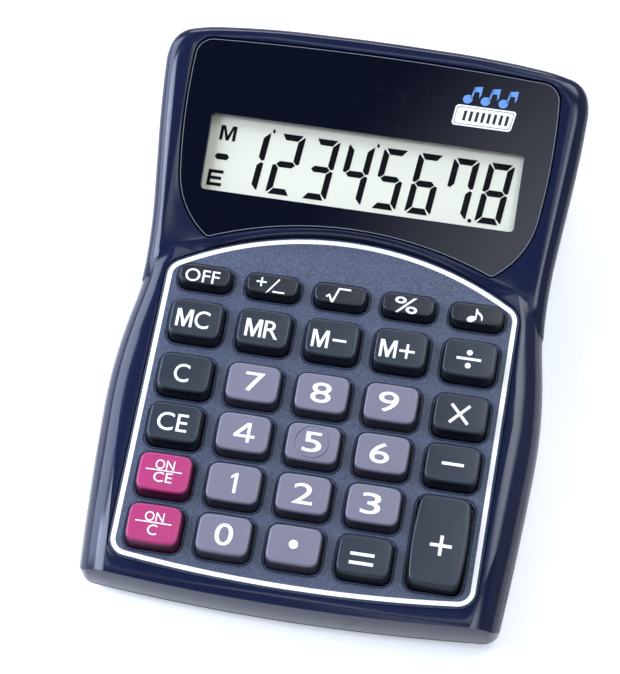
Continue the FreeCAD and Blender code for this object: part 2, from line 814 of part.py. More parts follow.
def make_bottom_case():
    outside = size("wall") + size("slip")
    inside = outside + size("lip_wall")
    lip_top = parting + size("lip_height")
    sides, front = leaning_block(floor_top, outside, lip_top, outside)
    tray = lower_outer().fuse(sides.common(front))
    sides, front = leaning_block(floor_top, inside, lip_top + 1, inside)
    tray = tray.cut(sides.common(front))

    # room for the upper case's bosses beside the lip, then the screw columns
    for x, y in CASE_SCREWS:
        tray = tray.cut(rod(x, y, parting, lip_top + 1, size("boss_round") + size("boss_gap")))
        tray = tray.fuse(rod(x, y, floor_top - 1, parting, size("boss_round") + size("column_wall")))
    for x, y in CASE_SCREWS:
        tray = tray.cut(rod(x, y, 0, screw_seat, size("screw_head_round") + size("screw_clearance")))
        tray = tray.cut(rod(x, y, screw_seat, parting + 1, size("screw_round") + size("screw_clearance")))

    # battery door opening: skin layer, tongue layer and the way out through the back wall
    half = size("door_half_width")
    slot = half + size("door_tongue") + size("door_gap")
    tray = tray.cut(box(-half, half, bay_front, BACK, 0, tongue_under))
    tray = tray.cut(box(-slot, slot, bay_front, BACK, tongue_under, rail_under))
    tray = tray.cut(box(-half, half, bay_back + size("bay_wall"), BACK, 0, lip_top + 1))

    # battery bay: four walls and the rails over the tongues
    wall = size("bay_wall")
    bay = box(-bay_out, bay_out, bay_front - wall, bay_back + wall, rail_under, bay_top)
    bay = bay.cut(box(-bay_end, bay_end, bay_front, bay_back, 0, bay_top + 1))
    foot = box(-bay_out, bay_out, bay_front - wall, bay_front, floor_top - 0.5, bay_top)
    bay = bay.fuse(foot)
    for side in (-1, 1):
        x0, x1 = sorted((side * (half + size("door_gap")), side * bay_out))
        rail_top = floor_top + size("rail_height")
        bay = bay.fuse(box(x0, x1, bay_front, size("rail_end_y"), rail_under, rail_top))
        x0, x1 = sorted((side * slot, side * bay_out))
        bay = bay.fuse(box(x0, x1, bay_front, size("rail_end_y"), floor_top - 0.5, rail_under + 0.1))
    tray = tray.fuse(bay)

    # sounder ring with its sound holes, and the pockets of the feet
    x, y = 0.0, size("buzzer_y")
    ring_top = floor_top + size("buzzer_ring_height")
    ring = post(x, y, floor_top - 0.5, ring_top, size("buzzer_round"))
    ring = ring.cut(post(x, y, 0, ring_top + 1, size("buzzer_round") - size("buzzer_ring_wall")))
    tray = tray.fuse(ring)
    holes = [(x, y)]
    count = int(size("sound_hole_count"))
    for i in range(count):
        turn = 2 * math.pi * i / count
        reach = size("sound_hole_ring")
        holes.append((x + reach * math.cos(turn), y + reach * math.sin(turn)))
    for hole_x, hole_y in holes:
        tray = tray.cut(rod(hole_x, hole_y, 0, floor_top + 1, size("sound_hole_round")))
    for x, y in FEET:
        pocket_top = size("foot_height") + size("foot_pocket")
        tray = tray.cut(rod(x, y, 0, pocket_top, size("foot_round") + size("foot_gap"), FOOT_SIDES))
    return feature("bottom_case", tray)


def make_battery_cover():
    """Skin and tongue layers with their own piece of the back wall, sliding out at the back."""
    half = size("door_half_width") - size("door_gap")
    slot = size("door_half_width") + size("door_tongue")
    front = bay_front + size("door_gap")
    wall_front = size("back_y") - 9.0
    cover = box(-half, half, front, BACK, 0, tongue_under)
    cover = cover.fuse(box(-slot, slot, front, BACK, tongue_under, floor_top))
    cover = cover.fuse(box(-half, half, wall_front, BACK, 0, parting - size("slip")))
    cover = cover.common(lower_outer())
    for i in range(int(size("grip_count"))):
        y = size("grip_y") + i * size("grip_pitch")
        reach = size("grip_half_length")
        depth = size("foot_height") + size("grip_depth")
        cover = cover.cut(box(-reach, reach, y, y + size("grip_width"), 0, depth))
    return feature("battery_cover", cover)


def make_keypad_panel():
    top = value(PLATE_TOP)
    under = value(PLATE_UNDER)
    plate = prism(plate_wire(0), under, top)
    holes = []
    for name, x, y, width, length, rise in LAYOUT:
        corners = key_corners("sizes." + width, "sizes." + length, "sizes.key_gap")
        spots = [V(value(corner_x), value(corner_y), 0) for corner_x, corner_y in corners]
        hole = prism(Part.makePolygon(spots + spots[:1]), under - 1, top + 1)
        hole.translate(V(x, y, 0))
        holes.append(hole)
    plate = plate.cut(holes)
    return feature("keypad_panel", plate, KEYPAD)


# Keys

def make_key(label, x, y, width_name, length_name, rise_name):
    """A cap with sloping front and back, a flange that stops it under the plate, and a plunger."""
    width = "sizes." + width_name
    length = "sizes." + length_name
    rise = "sizes." + rise_name
    body = doc.addObject("PartDesign::Body", label)
    cap = sketch_on(body, label + "_cap", PLATE_UNDER)
    polygon(cap, key_corners(width, length))
    extrusion(body, "Pad", cap, rise + " - (" + PLATE_UNDER + ")")

    slopes = sketch_on(body, label + "_slopes", "0", "YZ_Plane")
    for sign in ("-", ""):
        edge = sign + "(" + length + " / 2)"
        inner = sign + "(" + length + " / 2 - sizes.key_side_slope)"
        outer = sign + "(" + length + " / 2 + 1)"
        polygon(slopes, [(edge, "0"), (inner, rise), (outer, rise), (outer, "0")])
    extrusion(body, "Pocket", slopes, width + " + 2", both_ways=True)

    flange = sketch_on(body, label + "_flange", PLATE_UNDER)
    half_length = length + " / 2 + sizes.flange_lap"
    rectangle(flange, width + " / 2 + sizes.flange_lap", "-(" + half_length + ")", half_length)
    extrusion(body, "Pad", flange, "sizes.flange_thickness", down=True)

    plunger = sketch_on(body, label + "_plunger", FLANGE_UNDER)
    rectangle(plunger, "sizes.plunger / 2", "-sizes.plunger / 2", "sizes.plunger / 2")
    extrusion(body, "Pad", plunger, "sizes.plunger_length", down=True)

    if label == "key_5":
        ring = sketch_on(body, label + "_ring", rise)
        circle(ring, "0", "0", "sizes.finger_ring_round + sizes.finger_ring_width / 2")
        circle(ring, "0", "0", "sizes.finger_ring_round - sizes.finger_ring_width / 2")
        extrusion(body, "Pocket", ring, "sizes.finger_ring_depth")
    place = KEYPAD.multiply(FreeCAD.Placement(V(x, y, 0), FreeCAD.Rotation()))
    return keep(body, label, place)


def make_key_mat():
    """Rubber sheet on the board with one square pad under each plunger."""
    half = size("mat_half_width")
    top = value(MAT_SHEET_TOP)
    mat = box(-half, half, size("mat_front"), size("mat_back"), value(BOARD_TOP), top)
    pads = []
    for name, x, y, width, length, rise in LAYOUT:
        side = size("mat_pad") / 2
        pads.append(box(x - side, x + side, y - side, y + side, top, value(PLUNGER_END)))
    return feature("key_mat", mat.multiFuse(pads), KEYPAD)


# Board

def make_circuit_board():
    """Board with its front corners notched round the case screws and a hole for each of its own screws."""
    body = doc.addObject("PartDesign::Body", "circuit_board")
    half = "sizes.board_half_width"
    notch = "sizes.board_half_width - sizes.board_notch_width"
    front = "sizes.board_front"
    step = "sizes.board_front + sizes.board_notch_length"
    back = "sizes.board_back"
    face = sketch_on(body, "board_outline", BOARD_TOP)
    polygon(face, [("-(" + notch + ")", front), (notch, front), (notch, step), (half, step), (half, back),
                   ("-" + half, back), ("-" + half, step), ("-(" + notch + ")", step)])
    for side in ("", "-"):
        for place in ("front", "middle", "back"):
            polygon(face, hexagon(side + "sizes.board_screw_x", "sizes.board_screw_" + place,
                                  "(sizes.screw_round + sizes.screw_clearance)"))
    extrusion(body, "Pad", face, "sizes.board_thickness", down=True)
    return keep(body, "circuit_board", KEYPAD)


def make_chip_blob():
    """Flat twelve-sided drop of black resin under the board."""
    drop = doc.addObject("Part::Prism", "chip_blob")
    drop.Polygon = 12
    drop.setExpression("Circumradius", "sizes.blob_round")
    drop.setExpression("Height", "sizes.blob_height")
    place = V(size("blob_x"), size("blob_y"), value(BOARD_UNDER) - size("blob_height"))
    return keep(drop, "chip_blob", KEYPAD.multiply(FreeCAD.Placement(place, FreeCAD.Rotation())))


def make_capacitor():
    can = doc.addObject("Part::Cylinder", "capacitor")
    can.setExpression("Radius", "sizes.capacitor_round")
    can.setExpression("Height", "sizes.capacitor_length")
    place = V(size("capacitor_x"), size("capacitor_y"), value(BOARD_UNDER) - size("capacitor_round"))
    along = FreeCAD.Rotation(V(0, 1, 0), -90)
    return keep(can, "capacitor", KEYPAD.multiply(FreeCAD.Placement(place, along)))


def make_resistors():
    rods = []
    for i in range(3):
        spot = V(size("resistor_x"), size("resistor_y") + i * size("resistor_pitch"),
                 value(BOARD_UNDER) - size("resistor_round"))
        rods.append(Part.makeCylinder(size("resistor_round"), size("resistor_length"), spot, V(1, 0, 0)))
    return feature("resistors", Part.makeCompound(rods), KEYPAD)


# Display

def make_display_lens():
    return feature("display_lens", prism(lens_wire(0), value(LEDGE_TOP), value(LENS_TOP)), DISPLAY)


def make_lcd_frame():
    """Carrier round the display cell, open at its front end where the ribbon comes out."""
    body = doc.addObject("PartDesign::Body", "lcd_frame")
    inner = "sizes.glass_width / 2 + sizes.frame_gap"
    outer = inner + " + sizes.frame_bar"
    inner_back = GLASS_BACK + " + sizes.frame_gap"
    outer_back = inner_back + " + sizes.frame_bar"
    rim = sketch_on(body, "frame_rim", GLASS_TOP)
    polygon(rim, [("-(" + outer + ")", GLASS_FRONT), ("-(" + inner + ")", GLASS_FRONT),
                  ("-(" + inner + ")", inner_back), (inner, inner_back), (inner, GLASS_FRONT),
                  (outer, GLASS_FRONT), (outer, outer_back), ("-(" + outer + ")", outer_back)])
    depth = "(" + GLASS_TOP + ") - (" + REFLECTOR_UNDER + ")"
    extrusion(body, "Pad", rim, depth, down=True)
    backing = sketch_on(body, "frame_backing_outline", REFLECTOR_UNDER)
    rectangle(backing, outer, GLASS_FRONT, outer_back)
    extrusion(body, "Pad", backing, "sizes.frame_backing", down=True)
    return keep(body, "lcd_frame", DISPLAY)


def make_lcd_ribbon():
    """Flat ribbon: bonded under the contact ledge, down behind the plate seat and forward onto the board."""
    to_keypad = KEYPAD.inverse().multiply(DISPLAY)
    bond_back = to_keypad.multVec(V(0, value(GLASS_FRONT) - 0.2, value(GLASS_JOINT)))
    bond_front = to_keypad.multVec(V(0, value(CONTACT_FRONT) + 0.2, value(GLASS_JOINT)))
    thick = size("ribbon_thickness")
    board = value(BOARD_TOP) + thick
    clear_y = size("plate_arch_top") + size("seat_rim") + 0.5
    route = [
        bond_back,
        bond_front,
        V(0, clear_y, value(SEAT_UNDER) - 1.5),
        V(0, size("board_back") - 1.0, board),
        V(0, size("mat_back") + 0.5, board),
    ]
    under = [V(p.x, p.y, p.z) for p in route]
    offset = []
    for i, p in enumerate(under):
        before = (under[i] - under[i - 1]).normalize() if i else None
        after = (under[i + 1] - under[i]).normalize() if i + 1 < len(under) else None
        along = before or after
        if before and after:
            along = (before + after).normalize()
        side = V(0, -along.z, along.y)
        stretch = 1.0
        if before:
            normal = V(0, -before.z, before.y)
            stretch = side.dot(normal)
        offset.append(p + side * (thick / stretch))
    loop = under + list(reversed(offset)) + [under[0]]
    face = Part.Face(Part.makePolygon(loop))
    width = size("ribbon_width")
    face.translate(V(-width / 2, 0, 0))
    return feature("lcd_ribbon", face.extrude(V(width, 0, 0)), KEYPAD)


# Sounder, battery and leads

def make_buzzer_disc():
    disc = doc.addObject("Part::Cylinder", "buzzer_disc")
    disc.setExpression("Radius", "sizes.buzzer_round")
    disc.setExpression("Height", "sizes.buzzer_thickness")
    place = V(0, size("buzzer_y"), floor_top + size("buzzer_ring_height"))
    return keep(disc, "buzzer_disc", FreeCAD.Placement(place, FreeCAD.Rotation()))


battery_z = floor_top + size("battery_gap") + size("battery_round")
battery_start = -(size("battery_length") + size("battery_nub")) / 2
battery_end = -battery_start


def make_battery():
    can = doc.addObject("Part::Cylinder", "battery_can")
    can.setExpression("Radius", "sizes.battery_round")
    can.setExpression("Height", "sizes.battery_length")
    nub = doc.addObject("Part::Cylinder", "battery_nub")
    nub.setExpression("Radius", "sizes.battery_nub_round")
    nub.setExpression("Height", "sizes.battery_length + sizes.battery_nub")
    battery = doc.addObject("Part::Fuse", "battery")
    battery.Base = can
    battery.Tool = nub
    along = FreeCAD.Rotation(V(0, 1, 0), 90)
    place = V(battery_start, size("battery_y"), battery_z)
    return keep(battery, "battery", FreeCAD.Placement(place, along))


def contact_plate(side):
    x0, x1 = sorted((side * bay_end, side * (bay_end - size("contact_thickness"))))
    half = size("contact_width") / 2
    y = size("battery_y")
    low = floor_top + size("rail_height")
    return box(x0, x1, y - half, y + half, low, low + size("contact_height"))


def make_contact_positive():
    button = Part.makeCylinder(size("contact_button_round"), bay_end - battery_end,
                               V(battery_end, size("battery_y"), battery_z), V(1, 0, 0))
    return feature("contact_positive", contact_plate(1).fuse(button))


def make_contact_negative():
    """Plate with a bowed leaf that presses on the flat end of the cell."""
    thick = size("contact_thickness")
    base = -bay_end + thick
    half = size("battery_round") * 0.6
    width = size("contact_width") / 2
    y = size("battery_y") - width
    outer = [V(base, y, battery_z - half), V(battery_start, y, battery_z), V(base, y, battery_z + half)]
    inner = [V(base, y, battery_z + half - 1.4), V(battery_start - thick, y, battery_z),
             V(base, y, battery_z - half + 1.4)]
    edges = [arc(*outer), line(outer[2], inner[0]), arc(*inner), line(inner[2], outer[0])]
    leaf = Part.Face(Part.Wire(edges))
    return feature("contact_negative", contact_plate(-1).fuse(leaf.extrude(V(0, 2 * width, 0))))


def make_battery_leads():
    """From each contact's tab round the display ribbon to the back of the board."""
    radius = size("lead_round")
    board_z = KEYPAD.multVec(V(0, size("board_back") - 3, value(BOARD_TOP)))
    top = floor_top + size("rail_height") + size("contact_height")
    leads = []
    for side in (-1, 1):
        tab_x = side * (bay_end - size("contact_thickness") / 2)
        end_x = side * size("lead_board_x")
        leads.append(tube([
            V(tab_x, size("battery_y"), top),
            V(tab_x, size("battery_y"), top + 3.5),
            V(tab_x + side * 3, size("battery_y") - 12, top + 3.5),
            V(end_x, board_z.y + 6, board_z.z + 3.0),
            V(end_x, board_z.y, board_z.z + 3.0),
            V(end_x, board_z.y, board_z.z),
        ], radius))
    return feature("battery_leads", Part.makeCompound(leads))


def make_buzzer_leads():
    radius = size("buzzer_lead_round")
    disc_top = floor_top + size("buzzer_ring_height") + size("buzzer_thickness")
    y = size("buzzer_y")
    board = KEYPAD.multVec(V(0, 42.0, value(BOARD_UNDER)))
    leads = []
    for side in (-1, 1):
        x = side * size("buzzer_lead_x")
        leads.append(tube([
            V(x, y + 4, disc_top + radius),
            V(x, y + 9, disc_top + radius),
            V(x, board.y, board.z - 2.6),
            V(x, board.y, board.z),
        ], radius))
    return feature("buzzer_leads", Part.makeCompound(leads))


# Fasteners and feet

def screw(x, y, seat, tip):
    """Pan-headed screw pointing up, with its head's inner face at the seat."""
    head = rod(x, y, seat - size("screw_head"), seat, size("screw_head_round"))
    return head.fuse(rod(x, y, seat, tip, size("screw_round")))


def make_case_screws():
    screws = [screw(x, y, screw_seat, screw_tip) for x, y in CASE_SCREWS]
    return feature("case_screws", Part.makeCompound(screws))


def make_board_screws():
    seat = value(BOARD_UNDER)
    tip = seat + size("board_screw_length")
    screws = [screw(x, y, seat, tip) for x, y in BOARD_SCREWS]
    return feature("board_screws", Part.makeCompound(screws), KEYPAD)


def make_rubber_feet():
    top = size("foot_height") + size("foot_pocket")
    pads = [rod(x, y, 0, top, size("foot_round"), FOOT_SIDES) for x, y in FEET]
    return feature("rubber_feet", Part.makeCompound(pads))


make_top_case()
make_bottom_case()
make_battery_cover()
make_keypad_panel()
for key in LAYOUT:
    make_key(*key)
make_key_mat()
make_circuit_board()
make_chip_blob()
make_capacitor()
make_resistors()
make_display_lens()
slab("lcd_front_glass", DISPLAY, "sizes.glass_width / 2", CONTACT_FRONT, GLASS_BACK, GLASS_TOP,
     "sizes.glass_thickness")
slab("lcd_rear_glass", DISPLAY, "sizes.glass_width / 2", GLASS_FRONT, GLASS_BACK, GLASS_JOINT,
     "sizes.glass_thickness")
slab("lcd_reflector", DISPLAY, "sizes.glass_width / 2", GLASS_FRONT, GLASS_BACK, GLASS_UNDER,
     "sizes.reflector_thickness")
make_lcd_frame()
make_lcd_ribbon()
make_buzzer_disc()
make_battery()
make_contact_positive()
make_contact_negative()
make_battery_leads()
make_buzzer_leads()
make_case_screws()
make_board_screws()
make_rubber_feet()

doc.recompute()
for obj in doc.Objects:
    bad = [state for state in obj.State if state in ("Invalid", "Error")]
    if bad:
        raise RuntimeError("%s is %s" % (obj.Label, bad[0]))
for obj in subparts:
    if obj.Shape.isNull() or not obj.Shape.isValid() or not obj.Shape.Solids:
        raise RuntimeError("%s has no sound shape" % obj.Label)

os.makedirs("parts", exist_ok=True)
for obj in subparts:
    obj.Shape.exportStep("parts/%s.step" % obj.Label)
    print("%-22s %d solid %10.1f mm3" % (obj.Label, len(obj.Shape.Solids), obj.Shape.Volume))
print("%d sub-parts" % len(subparts))
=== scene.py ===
# %% [markdown]
# # A desk calculator with a sloping display head
#
# The solid model of the calculator is already finished: every part stands in its
# place, in metres, with the table at height zero. This lesson gives it its looks.
# We load that model, keep the parts whose shape is already right, and model the
# visible ones again where small edges, printing and texture matter.

# %% Load the finished parts
import math
import bpy
from mathutils import Matrix, Vector


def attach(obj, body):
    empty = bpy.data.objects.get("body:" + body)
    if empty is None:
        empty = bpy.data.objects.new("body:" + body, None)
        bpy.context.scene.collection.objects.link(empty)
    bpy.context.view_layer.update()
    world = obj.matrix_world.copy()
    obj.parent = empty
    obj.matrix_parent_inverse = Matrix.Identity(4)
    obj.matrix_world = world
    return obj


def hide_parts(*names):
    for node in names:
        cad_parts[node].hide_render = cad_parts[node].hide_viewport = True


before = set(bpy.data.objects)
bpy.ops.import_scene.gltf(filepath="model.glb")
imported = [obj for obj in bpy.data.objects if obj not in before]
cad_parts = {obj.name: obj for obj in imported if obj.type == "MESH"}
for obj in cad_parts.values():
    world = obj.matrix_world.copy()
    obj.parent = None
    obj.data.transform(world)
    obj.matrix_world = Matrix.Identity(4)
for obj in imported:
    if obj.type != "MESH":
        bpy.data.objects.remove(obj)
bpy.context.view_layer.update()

mm = 0.001

# %% [markdown]
# ## Two tilted planes
#
# The keypad face slopes by four degrees and the display face by twenty. Everything
# on them is easiest to draw flat, seen from above, and to tip into place at the
# end. Each plane is a matrix: the keypad's starts at the middle of the 5 key, the
# display's on the crease between the two slopes.

# %% The keypad plane and the display plane
keypad_slope, display_slope = 4, 20
home_key_y, home_key_z, crease_reach = -32.4, 16.4, 49
keypad = (Matrix.Translation((0, home_key_y * mm, home_key_z * mm))
          @ Matrix.Rotation(math.radians(keypad_slope), 4, "X"))
crease = keypad @ Vector((0, crease_reach * mm, 0))
display = Matrix.Translation(crease) @ Matrix.Rotation(math.radians(display_slope), 4, "X")
level = Matrix.Identity(4)
print("the crease stands", round(crease.z / mm, 2), "mm above the table")

# %% [markdown]
# ## The camera
#
# The photograph was taken from the front, a little to the right and from well
# above. The key openings form a regular grid, and their places in the picture give
# the camera's place, its turn and its long lens.

# %% Set up the camera
eye_place = (0.069106, -0.319881, 0.672519)
eye_turn = (26.4265, 1.6257, 10.0603)
lens_length = 154.15


def new_object(name, data):
    """A new object in the scene that shows the given data."""
    thing = bpy.data.objects.new(name, data)
    bpy.context.scene.collection.objects.link(thing)
    return thing


eye = bpy.data.cameras.new("eye")
eye.sensor_width = 36
eye.lens = lens_length
eye.clip_start = 0.01
camera = new_object("camera", eye)
camera.location = eye_place
camera.rotation_euler = [math.radians(turn) for turn in eye_turn]
bpy.context.scene.camera = camera
bpy.context.scene.view_settings.view_transform = "Standard"
print("camera looks from", [round(c, 3) for c in camera.location])

# %% [markdown]
# ## Small helpers for modelling
#
# An edit-mode operator acts on whatever is selected. So each step starts with
# nothing selected, and then picks its faces, edges or points by where they are.

# %% Select, shape and settle a piece
def stop_editing():
    bpy.ops.object.mode_set(mode="OBJECT")


def start_fresh():
    if bpy.context.mode != "OBJECT":
        stop_editing()
    bpy.ops.object.select_all(action="DESELECT")


def pick(*pieces):
    start_fresh()
    for piece in pieces:
        piece.select_set(True)
    bpy.context.view_layer.objects.active = pieces[0]


def start_editing():
    if bpy.context.mode != "EDIT_MESH":
        bpy.ops.object.mode_set(mode="EDIT")


def edit_all():
    start_editing()
    bpy.ops.mesh.select_all(action="SELECT")


def choose(piece, kind, test):
    """Selects, in edit mode, the points, edges or faces whose corner points pass a test."""
    start_editing()
    bpy.ops.mesh.select_mode(type=kind)
    bpy.ops.mesh.select_all(action="DESELECT")
    stop_editing()
    points = piece.data.vertices
    if kind == "VERT":
        for point in points:
            point.select = test([point.co])
    else:
        for part in piece.data.edges if kind == "EDGE" else piece.data.polygons:
            part.select = test([points[i].co for i in part.vertices])
    start_editing()


def at_height(height, near=0.01 * mm):
    """A test for choose: whether all corner points lie at a height in metres."""
    return lambda corners: all(abs(p.z - height) < near for p in corners)


def extrude_up(height):
    bpy.ops.mesh.extrude_region_move(TRANSFORM_OT_translate={"value": (0, 0, height)})


def use_modifier(piece, kind, **settings):
    pick(piece)
    modifier = piece.modifiers.new(kind.lower(), kind)
    for name, setting in settings.items():
        setattr(modifier, name, setting)
    bpy.ops.object.modifier_apply(modifier=modifier.name)


def cut_away(piece, tool):
    """Cuts the shape of a tool out of a piece and removes the tool."""
    use_modifier(piece, "BOOLEAN", operation="DIFFERENCE", solver="EXACT", object=tool)
    bpy.data.objects.remove(tool)


def extent(piece):
    """The lowest and the highest coordinates of a piece's points."""
    spots = [point.co for point in piece.data.vertices]
    return [Vector([end(spot[i] for spot in spots) for i in range(3)]) for end in (min, max)]


def dress(piece, finish):
    piece.data.materials.clear()
    piece.data.materials.append(finish)


def settle(piece, name, place, body, finish, sharp=40):
    """Tips a piece into its plane, smooths it, gives it its finish and lets it ride on its body."""
    start_fresh()
    piece.name = name
    piece.data.name = name
    piece.data.transform(place @ piece.matrix_world)
    piece.matrix_world = level
    pick(piece)
    bpy.ops.object.shade_smooth_by_angle(angle=math.radians(sharp))
    dress(piece, finish)
    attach(piece, body)


print("helpers ready")

# %% [markdown]
# ## Shader maths written as sums
#
# A finish is a net of nodes. Wiring each Math node by hand hides the idea, so a
# small class wraps a socket: adding or multiplying two of them makes the node. One
# method makes every other kind of node from its settings and its inputs. The sky
# is such a net too.

# %% A wire that can be added and multiplied, and the nets that are built from them
class Wire:
    def __init__(self, net, socket):
        self.net = net
        self.socket = socket

    def sum(self, operation, first, second):
        return self.net.node("ShaderNodeMath", {"operation": operation}, {0: first, 1: second})

    def __add__(self, other):
        return self.sum("ADD", self, other)

    def __radd__(self, other):
        return self.sum("ADD", other, self)

    def __sub__(self, other):
        return self.sum("SUBTRACT", self, other)

    def __mul__(self, other):
        return self.sum("MULTIPLY", self, other)


class Net:
    """The nodes of a finish or of the sky."""

    def __init__(self, tree):
        self.nodes = tree.nodes
        self.links = tree.links

    def node(self, kind, settings=None, inputs=None, output=0):
        node = self.nodes.new(kind)
        for name, setting in (settings or {}).items():
            setattr(node, name, setting)
        for key, given in (inputs or {}).items():
            if isinstance(given, Wire):
                self.links.new(given.socket, node.inputs[key])
            else:
                node.inputs[key].default_value = given
        return Wire(self, node.outputs[output])

    def step(self, wire, low, high, start=0.0, end=1.0):
        """One value below the low mark, another above the high one, and a smooth way between."""
        return self.node("ShaderNodeMapRange", {"interpolation_type": "SMOOTHSTEP"},
                         {0: wire, 1: low, 2: high, 3: start, 4: end})


class Finish(Net):
    """One material, with a Principled shader and the nodes that feed it."""

    def __init__(self, name, **plain):
        self.material = bpy.data.materials.new(name)
        self.material.use_nodes = True
        super().__init__(self.material.node_tree)
        self.shader = self.nodes["Principled BSDF"]
        for socket, setting in plain.items():
            self.shader.inputs[socket.replace("_", " ")].default_value = setting

    def feed(self, socket, wire):
        self.links.new(wire.socket, self.shader.inputs[socket])

    def place(self):
        """Object coordinates: metres in the calculator's own frame."""
        return self.node("ShaderNodeTexCoord", output="Object")

    def height(self, plane):
        """How high a point lies above a plane, in millimetres."""
        back = plane.inverted()
        place = self.node("ShaderNodeMapping", {}, {"Vector": self.place(), "Location": back.to_translation(),
                                                    "Rotation": back.to_euler()})
        return self.node("ShaderNodeSeparateXYZ", {}, {0: place}, output="Z") * 1000

    def noise(self, grain_mm, detail=2.0, roughness=0.5):
        """Soft random tone from 0 to 1 whose patches are about as large as the grain."""
        return self.node("ShaderNodeTexNoise", {}, {"Vector": self.place(), "Scale": 1000 / grain_mm,
                                                    "Detail": detail, "Roughness": roughness})

    def blend(self, share, first, second):
        """A mix of two colours."""
        return self.node("ShaderNodeMix", {"data_type": "RGBA"}, {0: share, 6: first, 7: second}, output=2)

    def drifting(self, colour, tint, fine, patch_mm=18.0, share=0.7, lift=0.0):
        """A colour that is a little darker or lighter in soft patches and in its fine grain."""
        mixed = self.noise(patch_mm, 3.0) * share + fine * (1 - share)
        return self.blend(mixed, toned(colour, 1 - tint), toned(colour, 1 + tint, lift))

    def handled(self, shine, fine):
        """A roughness with faint handling marks and the fine grain in it."""
        marks = self.step(self.noise(3.0, 6.0, 0.7), 0.52, 0.75)
        return shine + marks * 0.06 + (fine - 0.5) * 0.05

    def relief(self, height, depth_mm):
        self.feed("Normal", self.node("ShaderNodeBump", {}, {"Height": height, "Distance": depth_mm * mm}))


def shade(red, green, blue):
    """A colour given as it looks on a screen, from 0 to 255, as the linear values that nodes take."""
    def straight(c):
        c = c / 255
        return c / 12.92 if c <= 0.04045 else ((c + 0.055) / 1.055) ** 2.4
    return (straight(red), straight(green), straight(blue), 1.0)


def toned(colour, factor, lift=0.0):
    """A colour made darker or lighter by a factor."""
    return tuple(c * factor + lift for c in colour[:3]) + (1.0,)


def moulded(name, colour, shine, grain_mm=0.35, depth_mm=0.004, tint=0.12, **plain):
    """A plain finish: a colour that drifts a little, a fine grain from the tool, and handling marks."""
    finish = Finish(name, **plain)
    fine = finish.noise(grain_mm)
    finish.feed("Base Color", finish.drifting(colour, tint, fine, lift=0.0006))
    finish.feed("Roughness", finish.handled(shine, fine))
    finish.relief(fine, depth_mm)
    return finish.material


def speckled(name, dark, light, shine):
    """Paint with a visible fine speckle, as on the keypad plate."""
    finish = Finish(name)
    speck = finish.noise(0.55)
    mixed = finish.step(speck, 0.25, 0.75) * 0.8 + finish.noise(18.0, 3.0) * 0.2
    finish.feed("Base Color", finish.blend(mixed, dark, light))
    finish.feed("Roughness", shine + (speck - 0.5) * 0.2)
    finish.relief(speck, 0.012)
    return finish.material


joint_low, joint_high, joint_soft = 3.5, 4.5, 0.15
# Painted shade on the key walls: the heights in millimetres above the keypad face between which it fades, and
# how dark it gets at the foot.
painted_shade_foot, painted_shade_top, painted_wall_shade = 2.6, 3.5, 0.16


def shell_plastic(name, colour, shine, grain_mm, depth_mm):
    """Plastic of the two shells, with a dark line along the joint between them."""
    finish = Finish(name, IOR=1.42)
    height = finish.height(level)
    joint = (finish.step(height, joint_low, joint_low + joint_soft)
             - finish.step(height, joint_high - joint_soft, joint_high))
    fine = finish.noise(grain_mm)
    finish.feed("Base Color", finish.blend(joint, finish.drifting(colour, 0.12, fine), shade(4, 5, 8)))
    finish.feed("Roughness", finish.handled(shine, fine) + joint * 0.8)
    finish.relief(fine, depth_mm)
    return finish.material


def key_plastic(name, colour, shine):
    """Satin key plastic, with painted shade that darkens the walls towards their foot."""
    finish = Finish(name)
    fine = finish.noise(0.3)
    top = finish.drifting(colour, 0.08, fine, patch_mm=14.0, share=0.6)
    # Painted shade: the colour darkens down each wall, from near the shoulder to near the plate, where the
    # gaps between the keys lie in shade.
    out_of_painted_shade = finish.step(finish.height(keypad), painted_shade_foot, painted_shade_top)
    finish.feed("Base Color", finish.blend(out_of_painted_shade, toned(colour, painted_wall_shade), top))
    marks = finish.step(finish.noise(2.4, 6.0, 0.7), 0.55, 0.8)
    finish.feed("Roughness", shine + marks * 0.05 + (fine - 0.5) * 0.06)
    finish.relief(fine, 0.004)
    return finish.material


print("finishes can be mixed")

# %% [markdown]
# ## Finishes
#
# The upper case is a polished, almost black navy. The keypad plate has a fine spark
# grain, so it looks lighter and greyer. The number keys are lavender, the function
# keys charcoal, and the two switch-on keys magenta, all satin. The lower shell is a
# matt dark grey.

# %% Plastics of the outside
case_finish = shell_plastic("case_navy", shade(24, 30, 56), 0.14, 1.2, 0.001)
base_finish = shell_plastic("base_grey", shade(40, 42, 50), 0.5, 0.3, 0.008)
plate_finish = speckled("plate_blue_grey", shade(48, 57, 76), shade(84, 93, 116), 0.40)
lilac_finish = key_plastic("key_lavender", shade(117, 115, 130), 0.34)
dark_finish = key_plastic("key_charcoal", shade(36, 44, 54), 0.32)
magenta_finish = key_plastic("key_magenta", shade(172, 48, 106), 0.34)
print("outside plastics:", case_finish.name, base_finish.name, plate_finish.name)

# %% Printing inks and the lens
ink_white = moulded("ink_white", shade(250, 250, 250), 0.45, tint=0.02)
ink_blue = moulded("ink_blue", shade(98, 148, 210), 0.4, tint=0.06)
ink_black = moulded("ink_black", shade(16, 18, 22), 0.4)
lens_finish = moulded("lens_black", shade(8, 12, 26), 0.05, grain_mm=4.0, depth_mm=0.0005, IOR=1.49)
# A painted highlight: a pale band along the lens's edge stands for the light its polished rim catches.
rim_highlight_finish = moulded("rim_painted_highlight", shade(128, 132, 144), 0.3)
segment_finish = moulded("segment_black", shade(14, 15, 18), 0.7, Specular_IOR_Level=0.05)
print("printing and lens:", ink_white.name, segment_finish.name)

# %% [markdown]
# ## Dressing the parts that stay
#
# A part whose solid shape is right only needs its finish. The table pairs each part
# with one.

